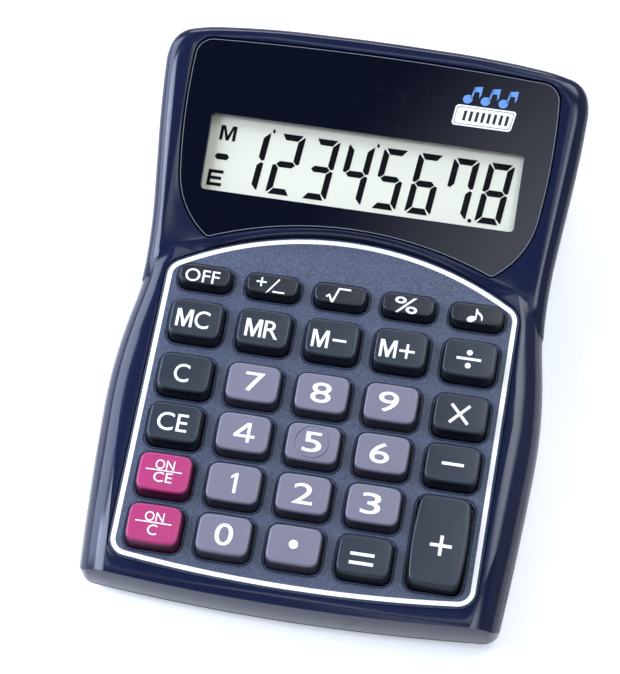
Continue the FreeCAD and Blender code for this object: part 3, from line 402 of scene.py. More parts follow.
# %% Give the kept parts their finishes
steel_finish = moulded("spring_steel", shade(186, 188, 192), 0.28, Metallic=1.0)
lead_finish = moulded("lead_red", shade(170, 38, 34), 0.4)
foot_finish = moulded("foot_rubber", shade(34, 34, 36), 0.8, grain_mm=0.4, depth_mm=0.02)
kept = {
    "key_mat": moulded("mat_rubber", shade(190, 192, 196), 0.7),
    "circuit_board": moulded("board_phenolic", shade(168, 140, 84), 0.5),
    "chip_blob": moulded("blob_resin", shade(18, 18, 20), 0.15),
    "capacitor": moulded("capacitor_sleeve", shade(44, 66, 124), 0.3),
    "resistors": moulded("resistor_lacquer", shade(196, 168, 126), 0.35),
    "lcd_reflector": moulded("reflector_silver", shade(205, 214, 206), 0.6, grain_mm=0.15, tint=0.03),
    "lcd_frame": moulded("carrier_grey", shade(70, 72, 76), 0.5),
    "lcd_ribbon": moulded("ribbon_film", shade(206, 196, 168), 0.4),
    "buzzer_disc": moulded("sounder_brass", shade(214, 184, 112), 0.3, Metallic=1.0),
    "battery": moulded("cell_sleeve", shade(92, 98, 108), 0.3),
    "contact_positive": steel_finish, "contact_negative": steel_finish, "board_screws": steel_finish,
    "battery_leads": lead_finish, "buzzer_leads": lead_finish,
}
for name, finish in kept.items():
    dress(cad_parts[name], finish)
print("parts dressed:", len(kept))

# %% [markdown]
# ## Floor and light
#
# The calculator lies on white paper under soft studio light. The paper is a pale
# surface that lights the object as paper does. Towards the camera, and in mirror
# images, some glow is added, so that it shows as white and only the shadow is left.
# Two cool softboxes on the left, one broad and low and one small and high, draw the
# pale bands along the rounded edges, and one behind throws the shadow forwards. The
# lens must stay dark, so the studio has a dark ceiling. Four soft bright spots in
# it stand where the rounded edges on the right, the lens's right-hand part and the
# rounded edge in front mirror them.

# %% The floor
paper_dark, paper_light = (0.80, 0.80, 0.80, 1), (0.82, 0.82, 0.82, 1)
paper_glow = (0.40, 0.42, 0.46, 1)
start_fresh()
bpy.ops.mesh.primitive_plane_add(size=6.0)
floor = bpy.context.object
floor.name = "floor"
paper = Finish("floor_paper", Roughness=0.9)
paper.feed("Base Color", paper.blend(paper.noise(6.0, 3.0), paper_dark, paper_light))
lit = Wire(paper, paper.shader.outputs[0])
glow = paper.node("ShaderNodeEmission", {}, {"Color": paper_glow, "Strength": 1.0})
glowing = paper.node("ShaderNodeAddShader", {}, {0: lit, 1: glow})
seen = [paper.node("ShaderNodeLightPath", output=ray)
        for ray in ("Is Camera Ray", "Is Glossy Ray", "Is Transmission Ray")]
shown = paper.node("ShaderNodeMixShader", {}, {0: seen[0] + seen[1] + seen[2], 1: lit, 2: glowing})
paper.links.new(shown.socket, paper.nodes["Material Output"].inputs["Surface"])
floor.data.materials.append(paper.material)
print("floor laid:", floor.name)

# %% The lamps and the sky
cool, warm = (0.70, 0.77, 1.0), (1.0, 0.97, 0.93)
sky_colour = (0.86, 0.91, 1.0, 1)
lamp_aim = Vector((0, 0, 0.02))


def softbox(name, place, width, depth, power, colour):
    lamp = bpy.data.lights.new(name, "AREA")
    lamp.shape = "RECTANGLE"
    lamp.size = width
    lamp.size_y = depth
    lamp.energy = power
    lamp.color = colour
    box = new_object(name, lamp)
    box.location = place
    box.rotation_euler = (lamp_aim - Vector(place)).to_track_quat("-Z", "Y").to_euler()


softbox("left_softbox", (-0.78, 0.17, 0.42), 0.64, 0.60, 8.2, cool)
softbox("high_left_softbox", (-0.58, -0.14, 0.70), 0.34, 0.30, 4.6, cool)
softbox("back_softbox", (-0.22, 0.95, 0.62), 0.8, 0.30, 4.4, warm)

studio = bpy.data.worlds.new("studio")
studio.use_nodes = True
bpy.context.scene.world = studio
sky = Net(studio.node_tree)
ways = sky.node("ShaderNodeTexCoord", output="Generated")
upward = sky.node("ShaderNodeSeparateXYZ", {}, {0: ways}, output="Z")


def glowing_spot(way, inner, outer, brightness):
    """A soft-edged bright spot in the sky, given by its direction and by two angles from it."""
    nearness = sky.node("ShaderNodeVectorMath", {"operation": "DOT_PRODUCT"},
                        {0: ways, 1: Vector(way).normalized()}, output="Value")
    return sky.step(nearness, math.cos(math.radians(outer)), math.cos(math.radians(inner)), 0.0, brightness)


strength = (sky.step(upward, 0.66, 0.84, 0.38, 0.02)
            + glowing_spot((0.29, 0.41, 0.86), 3, 19, 7.0)
            + glowing_spot((0.33, -0.21, 0.92), 2, 13, 6.0)
            + glowing_spot((0.055, -0.24, 0.97), 3, 9.5, 2.2)
            + glowing_spot((-0.08, 0.08, 0.99), 3, 9, 2.6))
background = sky.nodes["Background"].inputs
sky.links.new(strength.socket, background["Strength"])
background["Color"].default_value = sky_colour

# %% [markdown]
# ## The outline of a key
#
# Seen from above a key is a rectangle whose four sides bow out a little: arcs of a
# very large circle, joined by small corner arcs that touch them smoothly. Working
# out its points lets one function serve caps of all three sizes.

# %% Points round a bowed rectangle
side_round = 96.0
key_corner = 2.2


def arc_points(centre, radius, start, end, steps):
    """Points along an arc, without its last one."""
    return [(centre[0] + radius * math.cos(start + (end - start) * i / steps),
             centre[1] + radius * math.sin(start + (end - start) * i / steps)) for i in range(steps)]


def bowed_rectangle(width, length):
    """Points in millimetres, anticlockwise from the right-hand side."""
    right = (width / 2 - side_round, 0.0)
    upper = (0.0, length / 2 - side_round)
    between = math.hypot(right[0], upper[1])
    aside = math.sqrt((side_round - key_corner) ** 2 - (between / 2) ** 2)
    spot = (right[0] / 2 - upper[1] / between * aside, upper[1] / 2 - right[0] / between * aside)
    low = math.atan2(spot[1], spot[0] - right[0])
    high = math.atan2(spot[1] - upper[1], spot[0])
    half = (arc_points(right, side_round, -low, low, 8)
            + arc_points(spot, key_corner, low, high, 6)
            + arc_points(upper, side_round, high, math.pi - high, 8)
            + arc_points((-spot[0], spot[1]), key_corner, math.pi - high, math.pi - low, 6))
    return half + [(-x, -y) for x, y in half]


print("points round a key:", len(bowed_rectangle(13.6, 11.2)))

# %% [markdown]
# ## A key cap
#
# A flat ring of points is extruded upwards: straight through the plate, then
# leaning in to the shoulder. The shoulder is bevelled with a small round that
# catches the light, and the top rises very slightly towards its middle, in rings,
# so that reflections slide over it as they do on a moulded cap.

# %% Model one cap of each size
cap_foot, shoulder_drop, shoulder_round = -3.2, 0.05, 0.45
side_lean, crown = 0.3, 0.14
crown_rings = (0.96, 0.86, 0.7, 0.5, 0.28)


def make_cap(width, length, rise, front_lean):
    """A cap round its own middle, with its shoulder just under the given rise above the keypad face."""
    ring = bowed_rectangle(width, length)
    shoulder = (rise - shoulder_drop) * mm
    start_fresh()
    bpy.ops.mesh.primitive_circle_add(vertices=len(ring), radius=width / 2 * mm, fill_type="NGON")
    cap = bpy.context.object
    for point, (x, y) in zip(cap.data.vertices, ring):
        point.co = (x * mm, y * mm, cap_foot * mm)
    edit_all()
    extrude_up(-cap_foot * mm)
    extrude_up(shoulder)
    bpy.ops.transform.resize(value=((width - 2 * side_lean) / width, (length - 2 * front_lean) / length, 1))
    choose(cap, "EDGE", at_height(shoulder, 0.001 * mm))
    bpy.ops.mesh.bevel(offset=shoulder_round * mm, segments=4, profile=0.5, affect="EDGES")
    choose(cap, "FACE", at_height(shoulder, 0.001 * mm))
    before = 1.0
    for share in crown_rings:
        extrude_up(crown * (before ** 2 - share ** 2) * mm)
        bpy.ops.transform.resize(value=(share / before, share / before, 1))
        before = share
    stop_editing()
    return cap


plain_cap = make_cap(13.6, 11.2, 3.8, 0.75)
low_cap = make_cap(13.6, 6.5, 3.0, 0.6)
tall_cap = make_cap(13.9, 24.2, 3.8, 0.75)
print("faces of a plain cap:", len(plain_cap.data.polygons))

# %% [markdown]
# ## The key field
#
# Five columns stand 17.5 mm apart. The rows are 13.5 mm apart, with a wider step
# above the numbers and a closer one to the low keys at the top.

# %% Where each key stands
key_names = [
    ["key_off", "key_sign", "key_root", "key_percent", "key_note"],
    ["key_memory_clear", "key_memory_recall", "key_memory_minus", "key_memory_plus", "key_divide"],
    ["key_clear", "key_7", "key_8", "key_9", "key_multiply"],
    ["key_clear_entry", "key_4", "key_5", "key_6", "key_minus"],
    ["key_on_clear_entry", "key_1", "key_2", "key_3"],
    ["key_on_clear", "key_0", "key_point", "key_equals"],
]
column_pitch = 17.5
row_heights = [41.1, 28.6, 13.7, 0.2, -13.3, -26.8]
key_places = {}
for names, y in zip(key_names, row_heights):
    for column, name in enumerate(names):
        key_places[name] = ((column - 2) * column_pitch, y)
key_places["key_plus"] = (2 * column_pitch, -20.05)
lilac_keys = {"key_point"} | {"key_%d" % digit for digit in range(10)}
magenta_keys = {"key_on_clear", "key_on_clear_entry"}
print("keys:", len(key_places))

# %% Copy the caps to their places
caps = {}
for name, (x, y) in key_places.items():
    pattern = plain_cap
    if name in key_names[0]:
        pattern = low_cap
    if name == "key_plus":
        pattern = tall_cap
    cap = new_object("cap", pattern.data.copy())
    finish, slot = dark_finish, "key_dark"
    if name in lilac_keys:
        finish, slot = lilac_finish, "key_lilac"
    if name in magenta_keys:
        finish, slot = magenta_finish, "key_magenta"
    settle(cap, "cap_" + name[4:], keypad @ Matrix.Translation((x * mm, y * mm, 0)), name, finish)
    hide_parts(name)
    caps[name] = cap
for pattern in (plain_cap, low_cap, tall_cap):
    bpy.data.objects.remove(pattern)
print("caps placed:", len(caps))

# %% Cut a fine ring into the 5 key, so that a finger finds it
ring_radius, ring_thickness, ring_lift = 4.2, 0.32, 0.02
start_fresh()
bpy.ops.mesh.primitive_torus_add(major_radius=ring_radius * mm, minor_radius=ring_thickness * mm,
                                 major_segments=72, minor_segments=12)
ring = bpy.context.object
home_x, home_y = key_places["key_5"]
cap_top = max((keypad.inverted() @ point.co).z for point in caps["key_5"].data.vertices)
ring.data.transform(keypad @ Matrix.Translation((home_x * mm, home_y * mm, cap_top + ring_lift * mm)))
cut_away(caps["key_5"], ring)
print("faces of the 5 key:", len(caps["key_5"].data.polygons), "top at", round(cap_top / mm, 2))

# %% [markdown]
# ## The two shells and the battery cover
#
# Their solids already have the right shape. A copy of each is welded into one skin,
# its flat faces are made whole, and its sharp edges are rounded off a little. A
# narrow band of faces round each sloping flat keeps the shading of the flat even.

# %% Copy the shells and ease their edges
weld_distance, flat_angle, sharp_angle = 0.002, 0.6, 34
band_width, plane_near = 0.25, 0.02
slopes = [keypad.inverted(), display.inverted()]


def welded_copy(name):
    """A copy of a part with its loose triangles joined into one skin."""
    copy = new_object(name + "_copy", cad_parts[name].data.copy())
    pick(copy)
    edit_all()
    bpy.ops.mesh.remove_doubles(threshold=weld_distance * mm)
    stop_editing()
    bpy.ops.mesh.customdata_custom_splitnormals_clear()
    return copy


def on_a_slope(corners):
    """Whether a face lies flat in the keypad plane or in the display plane."""
    return any(all(abs((slope @ p).z) < plane_near * mm for p in corners) for slope in slopes)


def eased_copy(name, piece_name, finish, width, body="body"):
    """A welded copy whose flat faces are made whole and whose sharp edges are rounded off a little."""
    copy = welded_copy(name)
    edit_all()
    bpy.ops.mesh.dissolve_limited(angle_limit=math.radians(flat_angle))
    stop_editing()
    use_modifier(copy, "BEVEL", width=width * mm, segments=2, limit_method="ANGLE",
                 angle_limit=math.radians(sharp_angle))
    choose(copy, "FACE", on_a_slope)
    bpy.ops.mesh.region_to_loop()
    bpy.ops.mesh.bevel(offset=band_width * mm, segments=1, affect="EDGES", clamp_overlap=True)
    stop_editing()
    settle(copy, piece_name, level, body, finish, sharp=50)
    if name != "top_case":
        use_modifier(copy, "WEIGHTED_NORMAL", keep_sharp=True, weight=100)
    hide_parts(name)
    return copy


upper = eased_copy("top_case", "case_upper", case_finish, 0.28)
lower = eased_copy("bottom_case", "case_lower", base_finish, 0.25)
door = eased_copy("battery_cover", "battery_door", base_finish, 0.12, "battery_cover")
print("faces of the case:", len(upper.data.polygons), len(lower.data.polygons), len(door.data.polygons))

# %% [markdown]
# ## The keypad plate
#
# The plate keeps its solid's outline and openings too. Its upper face is inset three
# times: the first time leaves a narrow sloping rim round every opening, the next two
# press a fine groove outside that rim, which is the dark line round each key.

# %% Press the plate's rims and grooves
rim_width, rim_drop = 0.38, 0.25
groove_width, groove_depth = 0.15, 0.30
plate = welded_copy("keypad_panel")
plate.data.transform(keypad.inverted())
plate_top = -0.2 * mm
choose(plate, "FACE", at_height(plate_top))
bpy.ops.transform.translate(value=(0, 0, -rim_drop * mm))
bpy.ops.mesh.inset(thickness=rim_width * mm, depth=rim_drop * mm, use_boundary=True)
for depth in (-groove_depth, groove_depth):
    bpy.ops.mesh.inset(thickness=groove_width * mm, depth=depth * mm, use_boundary=True)
settle(plate, "keypad_plate", keypad, "body", plate_finish, sharp=25)
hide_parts("keypad_panel")
print("faces of the plate:", len(plate.data.polygons))

# %% [markdown]
# ## Printing
#
# Printing is a thin layer of ink. Letters come from a text object and signs from
# flat curves, both drawn a thousand times too large, because Blender fills tiny
# outlines badly. M, 1 and 4, and the display's E, have straight edges only and are
# drawn as signs too. All are given a slight thickness, made a mesh and shrunk.
# Whatever is printed on a key is then let down onto its crowned top.

# %% Letters and flat signs
ink = 0.03


def block_letter(letter, x, y, width, height, thick=0.15):
    """The outlines of a straight-sided M, E, 1 or 4, round a middle in millimetres."""
    side = thick * height / width
    bar_top = 0.24 + 0.9 * thick
    if letter == "M":
        shapes = [[(0, 0), (0, 1), (1.4 * side, 1), (0.5, 0.33), (1 - 1.4 * side, 1), (1, 1), (1, 0),
                   (1 - side, 0), (1 - side, 0.76), (0.5 + 0.45 * side, 0), (0.5 - 0.45 * side, 0),
                   (side, 0.76), (side, 0)]]
    elif letter == "E":
        low, high = 0.5 - thick / 2, 0.5 + thick / 2
        shapes = [[(0, 0), (1, 0), (1, thick), (side, thick), (side, low), (0.92, low), (0.92, high),
                   (side, high), (side, 1 - thick), (1, 1 - thick), (1, 1), (0, 1)]]
    elif letter == "1":
        shapes = [[(0.75 - side, 0), (0.75, 0), (0.75, 1), (0.75 - 0.7 * side, 1), (0.1, 0.82), (0.1, 0.70),
                   (0.75 - side, 0.80)]]
    else:
        shapes = [[(0.62, 0), (0.62 + side, 0), (0.62 + side, 0.24), (1, 0.24), (1, bar_top),
                   (0.62 + side, bar_top), (0.62 + side, 1), (0.62 - 0.35 * side, 1), (0, bar_top),
                   (0, 0.24), (0.62, 0.24)],
                  [(0.62, bar_top), (0.62, 0.80), (0.22, bar_top)]]
    return [[(x + (u - 0.5) * width, y + (v - 0.5) * height) for u, v in shape] for shape in shapes]


def printed_words(words, x, y, width, height, weight):
    """Letters stretched to a width and height in millimetres, round a middle, thickened by a weight."""
    if words in ("M", "1", "4"):
        return printed_signs(block_letter(words, x, y, width, height))
    if words[0] == "M":
        first = printed_signs(block_letter("M", x - 0.25 * width, y, 0.5 * width, height))
        return joined([first, printed_words(words[1:], x + 0.28 * width, y, 0.44 * width, height, weight)])
    start_fresh()
    bpy.ops.object.text_add()
    text = bpy.context.object
    text.data.body = words
    text.data.size = 5
    text.data.offset = weight
    text.data.extrude = ink
    text.data.resolution_u = 5
    bpy.ops.object.convert(target="MESH")
    piece = bpy.context.object
    low, high = extent(piece)
    middle = (low + high) / 2
    fit = Matrix.Diagonal((width / (high.x - low.x), height / (high.y - low.y), 1, 1))
    piece.data.transform(Matrix.Translation((x, y, 0)) @ fit @ Matrix.Translation(-middle))
    piece.data.transform(Matrix.Scale(mm, 4))
    return piece


def printed_signs(*signs):
    """Flat signs, each a list of closed outlines in millimetres; an outline inside another one is a hole."""
    pieces = []
    for outlines in signs:
        start_fresh()
        flat = bpy.data.curves.new("sign", "CURVE")
        flat.dimensions = "2D"
        flat.fill_mode = "BOTH"
        flat.extrude = ink
        for outline in outlines:
            line = flat.splines.new("POLY")
            line.points.add(len(outline) - 1)
            for point, (x, y) in zip(line.points, outline):
                point.co = (x, y, 0, 1)
            line.use_cyclic_u = True
        pick(new_object("sign", flat))
        bpy.ops.object.convert(target="MESH")
        piece = bpy.context.object
        piece.data.transform(Matrix.Scale(mm, 4))
        pieces.append(piece)
    return joined(pieces)


def joined(pieces):
    pick(*pieces)
    if len(pieces) > 1:
        bpy.ops.object.join()
    return bpy.context.view_layer.objects.active


def disc(x, y, radius, flat=1.0, turn=0.0):
    """Points round a circle, or round an ellipse turned by some degrees."""
    spin = Matrix.Rotation(math.radians(turn), 2)
    ring = [spin @ Vector((u, v * flat)) for u, v in arc_points((0, 0), radius, 0, 2 * math.pi, 28)]
    return [(x + spot.x, y + spot.y) for spot in ring]


def stroke(points, width):
    """The outline of a line drawn with a broad pen through some points."""
    left, right = [], []
    for i, (x, y) in enumerate(points):
        before = points[max(i - 1, 0)]
        after = points[min(i + 1, len(points) - 1)]
        way_in = Vector((x - before[0], y - before[1]))
        way_out = Vector((after[0] - x, after[1] - y))
        way_in = (way_in if way_in.length else way_out).normalized()
        way_out = (way_out if way_out.length else way_in).normalized()
        along = (way_in + way_out).normalized()
        reach = width / 2 / max(along.dot(way_in), 0.35)
        left.append((x - along.y * reach, y + along.x * reach))
        right.append((x + along.y * reach, y - along.x * reach))
    return left + right[::-1]


def bar(x0, x1, y, width):
    return stroke([(x0, y), (x1, y)], width)


def plus(x, y, reach_x, reach_y, width):
    h = width / 2
    return [(x - h, y - reach_y), (x + h, y - reach_y), (x + h, y - h), (x + reach_x, y - h),
            (x + reach_x, y + h), (x + h, y + h), (x + h, y + reach_y), (x - h, y + reach_y),
            (x - h, y + h), (x - reach_x, y + h), (x - reach_x, y - h), (x - h, y - h)]


print("points of a plus sign:", len(plus(0, 0, 2, 2, 0.6)))

# %% [markdown]
# ## What the keys say
#
# Numbers and short function signs, white, in a plain broad face. Each entry gives
# the middle of the words and their size in millimetres, in the keypad plane. Four
# keys bear words and a sign together.

# %% Print the legends
bold, slight = 0.0175, 0.005
words = {
    "key_off": ("OFF", -35.6, 40.6, 8.8, 3.5), "key_percent": ("%", 16.9, 40.7, 6.0, 4.3),
    "key_memory_clear": ("MC", -35.7, 28.3, 8.5, 4.8), "key_memory_recall": ("MR", -17.9, 28.3, 8.5, 4.8),
    "key_clear": ("C", -35.7, 13.4, 3.9, 4.9), "key_7": ("7", -17.2, 13.8, 4.9, 5.1),
    "key_8": ("8", -0.2, 13.6, 5.1, 5.4), "key_9": ("9", 16.8, 13.8, 5.1, 5.4),
    "key_clear_entry": ("CE", -35.5, 0.1, 7.7, 4.8), "key_4": ("4", -17.2, 0.2, 5.3, 5.2),
    "key_5": ("5", -0.1, 0.3, 4.8, 5.3), "key_6": ("6", 16.9, 0.1, 4.9, 5.4),
    "key_1": ("1", -17.3, -13.3, 2.6, 5.3), "key_2": ("2", 0.0, -13.4, 5.1, 5.4),
    "key_3": ("3", 16.9, -13.3, 4.9, 5.5), "key_0": ("0", -17.4, -26.9, 4.5, 5.7),
}
note_head = disc(33.7, 39.5, 1.15, 0.68, 20)
note_stem = bar(34.6, 34.95, 41.0, 3.0)
note_flag = [(34.9, 42.5), (35.3, 41.7), (36.2, 41.0), (36.6, 40.2), (36.4, 39.3), (36.15, 39.6),
             (36.1, 40.2), (35.6, 40.8), (34.9, 41.2)]
signs = {
    "key_multiply": [stroke([(32.5, 10.9), (37.1, 15.8)], 0.75), stroke([(32.5, 15.8), (37.1, 10.9)], 0.75)],
    "key_memory_minus": [bar(0.2, 3.7, 28.1, 0.62)],
    "key_memory_plus": [plus(19.2, 27.9, 1.95, 1.95, 0.62)],
    "key_divide": [bar(31.7, 37.9, 28.3, 0.68), disc(34.8, 30.0, 0.74), disc(34.8, 26.5, 0.74)],
    "key_minus": [bar(32.4, 37.9, 0.0, 0.78)],
    "key_plus": [plus(35.5, -21.3, 2.7, 2.6, 0.82)],
    "key_equals": [bar(14.0, 20.0, -26.6, 0.82), bar(14.0, 20.0, -28.9, 0.82)],
    "key_point": [disc(-0.1, -26.7, 1.15)],
    "key_root": [stroke([(-3.5, 40.0), (-2.8, 40.5), (-1.8, 38.6), (-0.5, 42.5), (2.5, 42.5)], 0.5)],
    "key_sign": [plus(-20.4, 41.4, 1.3, 1.25, 0.42), stroke([(-18.8, 38.5), (-15.9, 42.7)], 0.42),
                 bar(-17.2, -14.2, 39.1, 0.42)],
    "key_on_clear_entry": [bar(-39.7, -30.6, -12.95, 0.28)],
    "key_on_clear": [bar(-39.7, -30.6, -26.6, 0.28)],
    "key_note": [note_head, note_stem, note_flag],
}
words_beside = {
    "key_memory_minus": [("M", -2.9, 28.0, 4.3, 4.7, bold)],
    "key_memory_plus": [("M", 14.4, 28.0, 4.3, 4.7, bold)],
    "key_on_clear_entry": [("ON", -35.1, -11.4, 4.8, 2.5, slight), ("CE", -35.1, -14.7, 4.7, 2.6, slight)],
    "key_on_clear": [("ON", -35.1, -25.1, 4.8, 2.5, slight), ("C", -35.1, -28.5, 2.4, 2.7, slight)],
}
legends = {name: [printed_words(*entry, bold)] for name, entry in words.items()}
for name, outlines in signs.items():
    legends[name] = [printed_words(*entry) for entry in words_beside.get(name, [])]
    legends[name].append(printed_signs(*[[outline] for outline in outlines]))
print("keys with printing:", len(legends))

# %% Let the printing down onto the caps
grid_pitch, ink_lift = 0.7, 0.012


def cut_fine(piece):
    """Cuts a flat piece along a fine grid, so that it can follow a curved top."""
    pick(piece)
    low, high = extent(piece)
    edit_all()
    bpy.ops.mesh.quads_convert_to_tris()
    for axis in (0, 1):
        across = [0, 0, 0]
        across[axis] = 1
        for i in range(1, int((high[axis] - low[axis]) / (grid_pitch * mm)) + 1):
            spot = [0, 0, 0]
            spot[axis] = low[axis] + i * grid_pitch * mm
            edit_all()
            bpy.ops.mesh.bisect(plane_co=spot, plane_no=across, threshold=1e-7)
    stop_editing()


def let_down(piece, cap):
    """Drops every point straight down, in the keypad plane, onto a cap that is already in place."""
    down = (keypad.to_3x3() @ Vector((0, 0, -1))).normalized()
    for point in piece.data.vertices:
        above = keypad @ Vector((point.co.x, point.co.y, 20 * mm))
        hit, spot = cap.ray_cast(above, down)[:2]
        if hit:
            point.co.z += (keypad.inverted() @ spot).z + ink_lift * mm


for name, parts in legends.items():
    legend = joined(parts)
    cut_fine(legend)
    let_down(legend, caps[name])
    settle(legend, "legend_" + name[4:], keypad, name, ink_white)
print("legends placed")

# %% [markdown]
# ## The line round the keypad
#
# A white line is printed on the plate, parallel to its edge. All points of the
# plate that belong to an opening, or lie below the face, are deleted, and so is
# whatever surface is left. The remaining ring of points is filled and inset twice,
# and only the band between the two insets is kept.

# %% Print the line
line_edge, line_width = 0.6, 1.2


def beside_opening(point):
    """Whether a point of the plate belongs to a key's opening."""
    for name, (x, y) in key_places.items():
        half_width, half_length = 7.6, 6.4
        if name in key_names[0]:
            half_length = 4.1
        if name == "key_plus":
            half_length = 13.0
        if abs(point.x / mm - x) < half_width and abs(point.y / mm - y) < half_length:
            return True
    return False


def printed_band(piece, width):
    """Keeps only a band along the rim of a piece's one face, and gives it the thickness of ink."""
    edit_all()
    bpy.ops.mesh.inset(thickness=width * mm)
    choose(piece, "FACE", lambda corners: len(corners) > 5)
    bpy.ops.mesh.delete(type="FACE")
    edit_all()
    extrude_up(ink * mm)
    edit_all()
    bpy.ops.mesh.normals_make_consistent(inside=False)
    stop_editing()


line_piece = welded_copy("keypad_panel")
line_piece.data.transform(keypad.inverted())
choose(line_piece, "VERT", lambda spot: abs(spot[0].z - plate_top) > 0.01 * mm or beside_opening(spot[0]))
bpy.ops.mesh.delete(type="VERT")
stop_editing()
rim = [point.co.copy() for point in line_piece.data.vertices]
centre = sum(rim, Vector()) / len(rim)
rim.sort(key=lambda point: math.atan2(point.y - centre.y, point.x - centre.x))
bpy.data.objects.remove(line_piece)
bpy.ops.mesh.primitive_circle_add(vertices=len(rim), radius=50 * mm, fill_type="NGON")
line_piece = bpy.context.object
for point, spot in zip(line_piece.data.vertices, rim):
    point.co = spot
edit_all()
bpy.ops.mesh.inset(thickness=line_edge * mm)
choose(line_piece, "FACE", lambda corners: len(corners) < 5)
bpy.ops.mesh.delete(type="FACE")
printed_band(line_piece, line_width)
settle(line_piece, "keypad_line", keypad, "body", ink_white, sharp=30)
print("points along the line:", len(rim))

# %% [markdown]
# ## The display lens
#
# The lens is one flat, polished cover: black all over, with a clear window. Its
# solid gives the outline. A chamfer is made by insetting the upper face, a window
# with rounded corners is cut through it, and a thin clear pane closes the window.
# A copy taken before the window is cut gives a thin pale band along the edge, a painted highlight.

# %% Cut the window and chamfer the edge
lens_top, lens_under = -0.3, -1.8
chamfer_width, chamfer_depth = 0.34, 0.30
window_x, window_y, window_middle = 40.6, 10.0, 25.9
window_corner, window_round, edge_near = 1.0, 0.14, 0.3


def window_block(half_x, half_y, low, high):
    """A block round the window's middle with rounded upright edges, in the display plane."""
    start_fresh()
    bpy.ops.mesh.primitive_cube_add(size=2, location=(0, window_middle * mm, (low + high) / 2 * mm),
                                    scale=(half_x * mm, half_y * mm, (high - low) / 2 * mm))
    bpy.ops.object.transform_apply(location=True, rotation=True, scale=True)
    block = bpy.context.object
    choose(block, "EDGE", lambda ends: abs(ends[0].z - ends[1].z) > 1e-7)
    bpy.ops.mesh.bevel(offset=window_corner * mm, segments=6, affect="EDGES")
    stop_editing()
    return block


def round_the_window(ends):
    """Whether an edge lies in the lens's upper face, at the window."""
    return all(abs(p.z - lens_top * mm) < 0.01 * mm and abs(p.x) < (window_x + edge_near) * mm
               and abs(p.y / mm - window_middle) < window_y + edge_near for p in ends)


lens = welded_copy("display_lens")
lens.data.transform(display.inverted())
choose(lens, "FACE", at_height(lens_top * mm))
bpy.ops.transform.translate(value=(0, 0, -chamfer_depth * mm))
bpy.ops.mesh.inset(thickness=chamfer_width * mm, depth=chamfer_depth * mm, use_boundary=True)
bpy.ops.mesh.dissolve_faces()
choose(lens, "FACE", at_height(lens_under * mm))
bpy.ops.mesh.dissolve_faces()
stop_editing()
rim = new_object("rim", lens.data.copy())
window = window_block(window_x, window_y, lens_under - 1, lens_top + 1)
cut_away(lens, window)
choose(lens, "EDGE", round_the_window)
bpy.ops.mesh.bevel(offset=window_round * mm, segments=2, affect="EDGES")
stop_editing()
settle(lens, "lens_cover", display, "body", lens_finish, sharp=25)
use_modifier(lens, "WEIGHTED_NORMAL", keep_sharp=True, weight=100)
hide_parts("display_lens")
print("faces of the lens:", len(lens.data.polygons))

# %% A painted highlight: a thin pale band along the lens's edge
rim_highlight_width = 0.15
pick(rim)
choose(rim, "FACE", lambda corners: not at_height(lens_top * mm)(corners))
bpy.ops.mesh.delete(type="FACE")
printed_band(rim, rim_highlight_width)
settle(rim, "lens_rim_highlight", display, "body", rim_highlight_finish, sharp=30)
print("faces of the rim line:", len(rim.data.polygons))

# %% The clear pane
pane_gap, pane_thickness, pane_play = 0.05, 0.50, 0.02
clear = Finish("window_clear", Roughness=0.04, IOR=1.49, Alpha=0.03)
clear.feed("Base Color", clear.blend(clear.noise(8.0), (0.010, 0.012, 0.014, 1), (0.014, 0.016, 0.018, 1)))
pane_top = lens_top - pane_gap
pane = window_block(window_x - pane_play, window_y - pane_play, pane_top - pane_thickness, pane_top)
settle(pane, "window_pane", display, "body", clear.material)
print("faces of the pane:", len(pane.data.polygons))

# %% [markdown]
# ## The badge and the three notes
#
# Upper right on the lens stand a white plate with slanting sides and, above it,
# three small blue notes. The plate has a thin dark line inside its edge and a row
# of plain slanting bars. All of it is flat printing.

# %% Print the badge
badge_corners = ((20.8, 41.4), (36.1, 41.4), (37.1, 46.8), (21.4, 46.8))
badge_x, badge_y, badge_corner = 7.9, 2.7, 0.55
frame_outside, frame_inside = 0.42, 0.56
first_bar, bar_pitch = 23.4, 1.55


def slanted_plate(inset):
    """The badge's outline, with its corners cut off, moved inwards."""
    corners = [Vector(corner) for corner in badge_corners]
    middle = sum(corners, Vector((0, 0))) / 4
    found = []
    for i, corner in enumerate(corners):
        for target in (corners[i - 1], corners[(i + 1) % 4]):
            spot = corner + (target - corner).normalized() * badge_corner
            found.append((middle.x + (spot.x - middle.x) * (1 - inset / badge_x),
                          middle.y + (spot.y - middle.y) * (1 - inset / badge_y)))
    return found


def print_on_lens(shapes, layer, name, finish):
    """Lays flat signs on the lens, as its first or second layer of ink."""
    piece = printed_signs(*shapes)
    piece.data.transform(Matrix.Translation((0, 0, (lens_top + layer * ink) * mm)))
    settle(piece, name, display, "body", finish)


print_on_lens([[slanted_plate(0)]], 1, "lens_badge", ink_white)
badge_marks = [[slanted_plate(frame_outside), slanted_plate(frame_inside)]]
for i in range(8):
    x = first_bar + i * bar_pitch
    badge_marks.append([[(x, 42.8), (x + 0.75, 42.8), (x + 1.1, 45.4), (x + 0.35, 45.4)]])
print_on_lens(badge_marks, 2, "lens_badge_marks", ink_black)
print("marks on the badge:", len(badge_marks))

# %% Print the notes
first_note, note_pitch = 24.1, 4.6
notes = []
for i in range(3):
    x = first_note + i * note_pitch
    notes.append([disc(x, 48.4, 1.25, 0.9, 25)])
    notes.append([stroke([(x + 0.9, 48.6), (x + 1.55, 51.6)], 0.45)])
    notes.append([[(x + 1.4, 51.75), (x + 3.5, 52.1), (x + 3.3, 49.8), (x + 2.85, 49.0), (x + 2.75, 50.6),
                   (x + 1.2, 50.5)]])
print_on_lens(notes, 1, "lens_notes", ink_blue)
print("shapes in the notes:", len(notes))

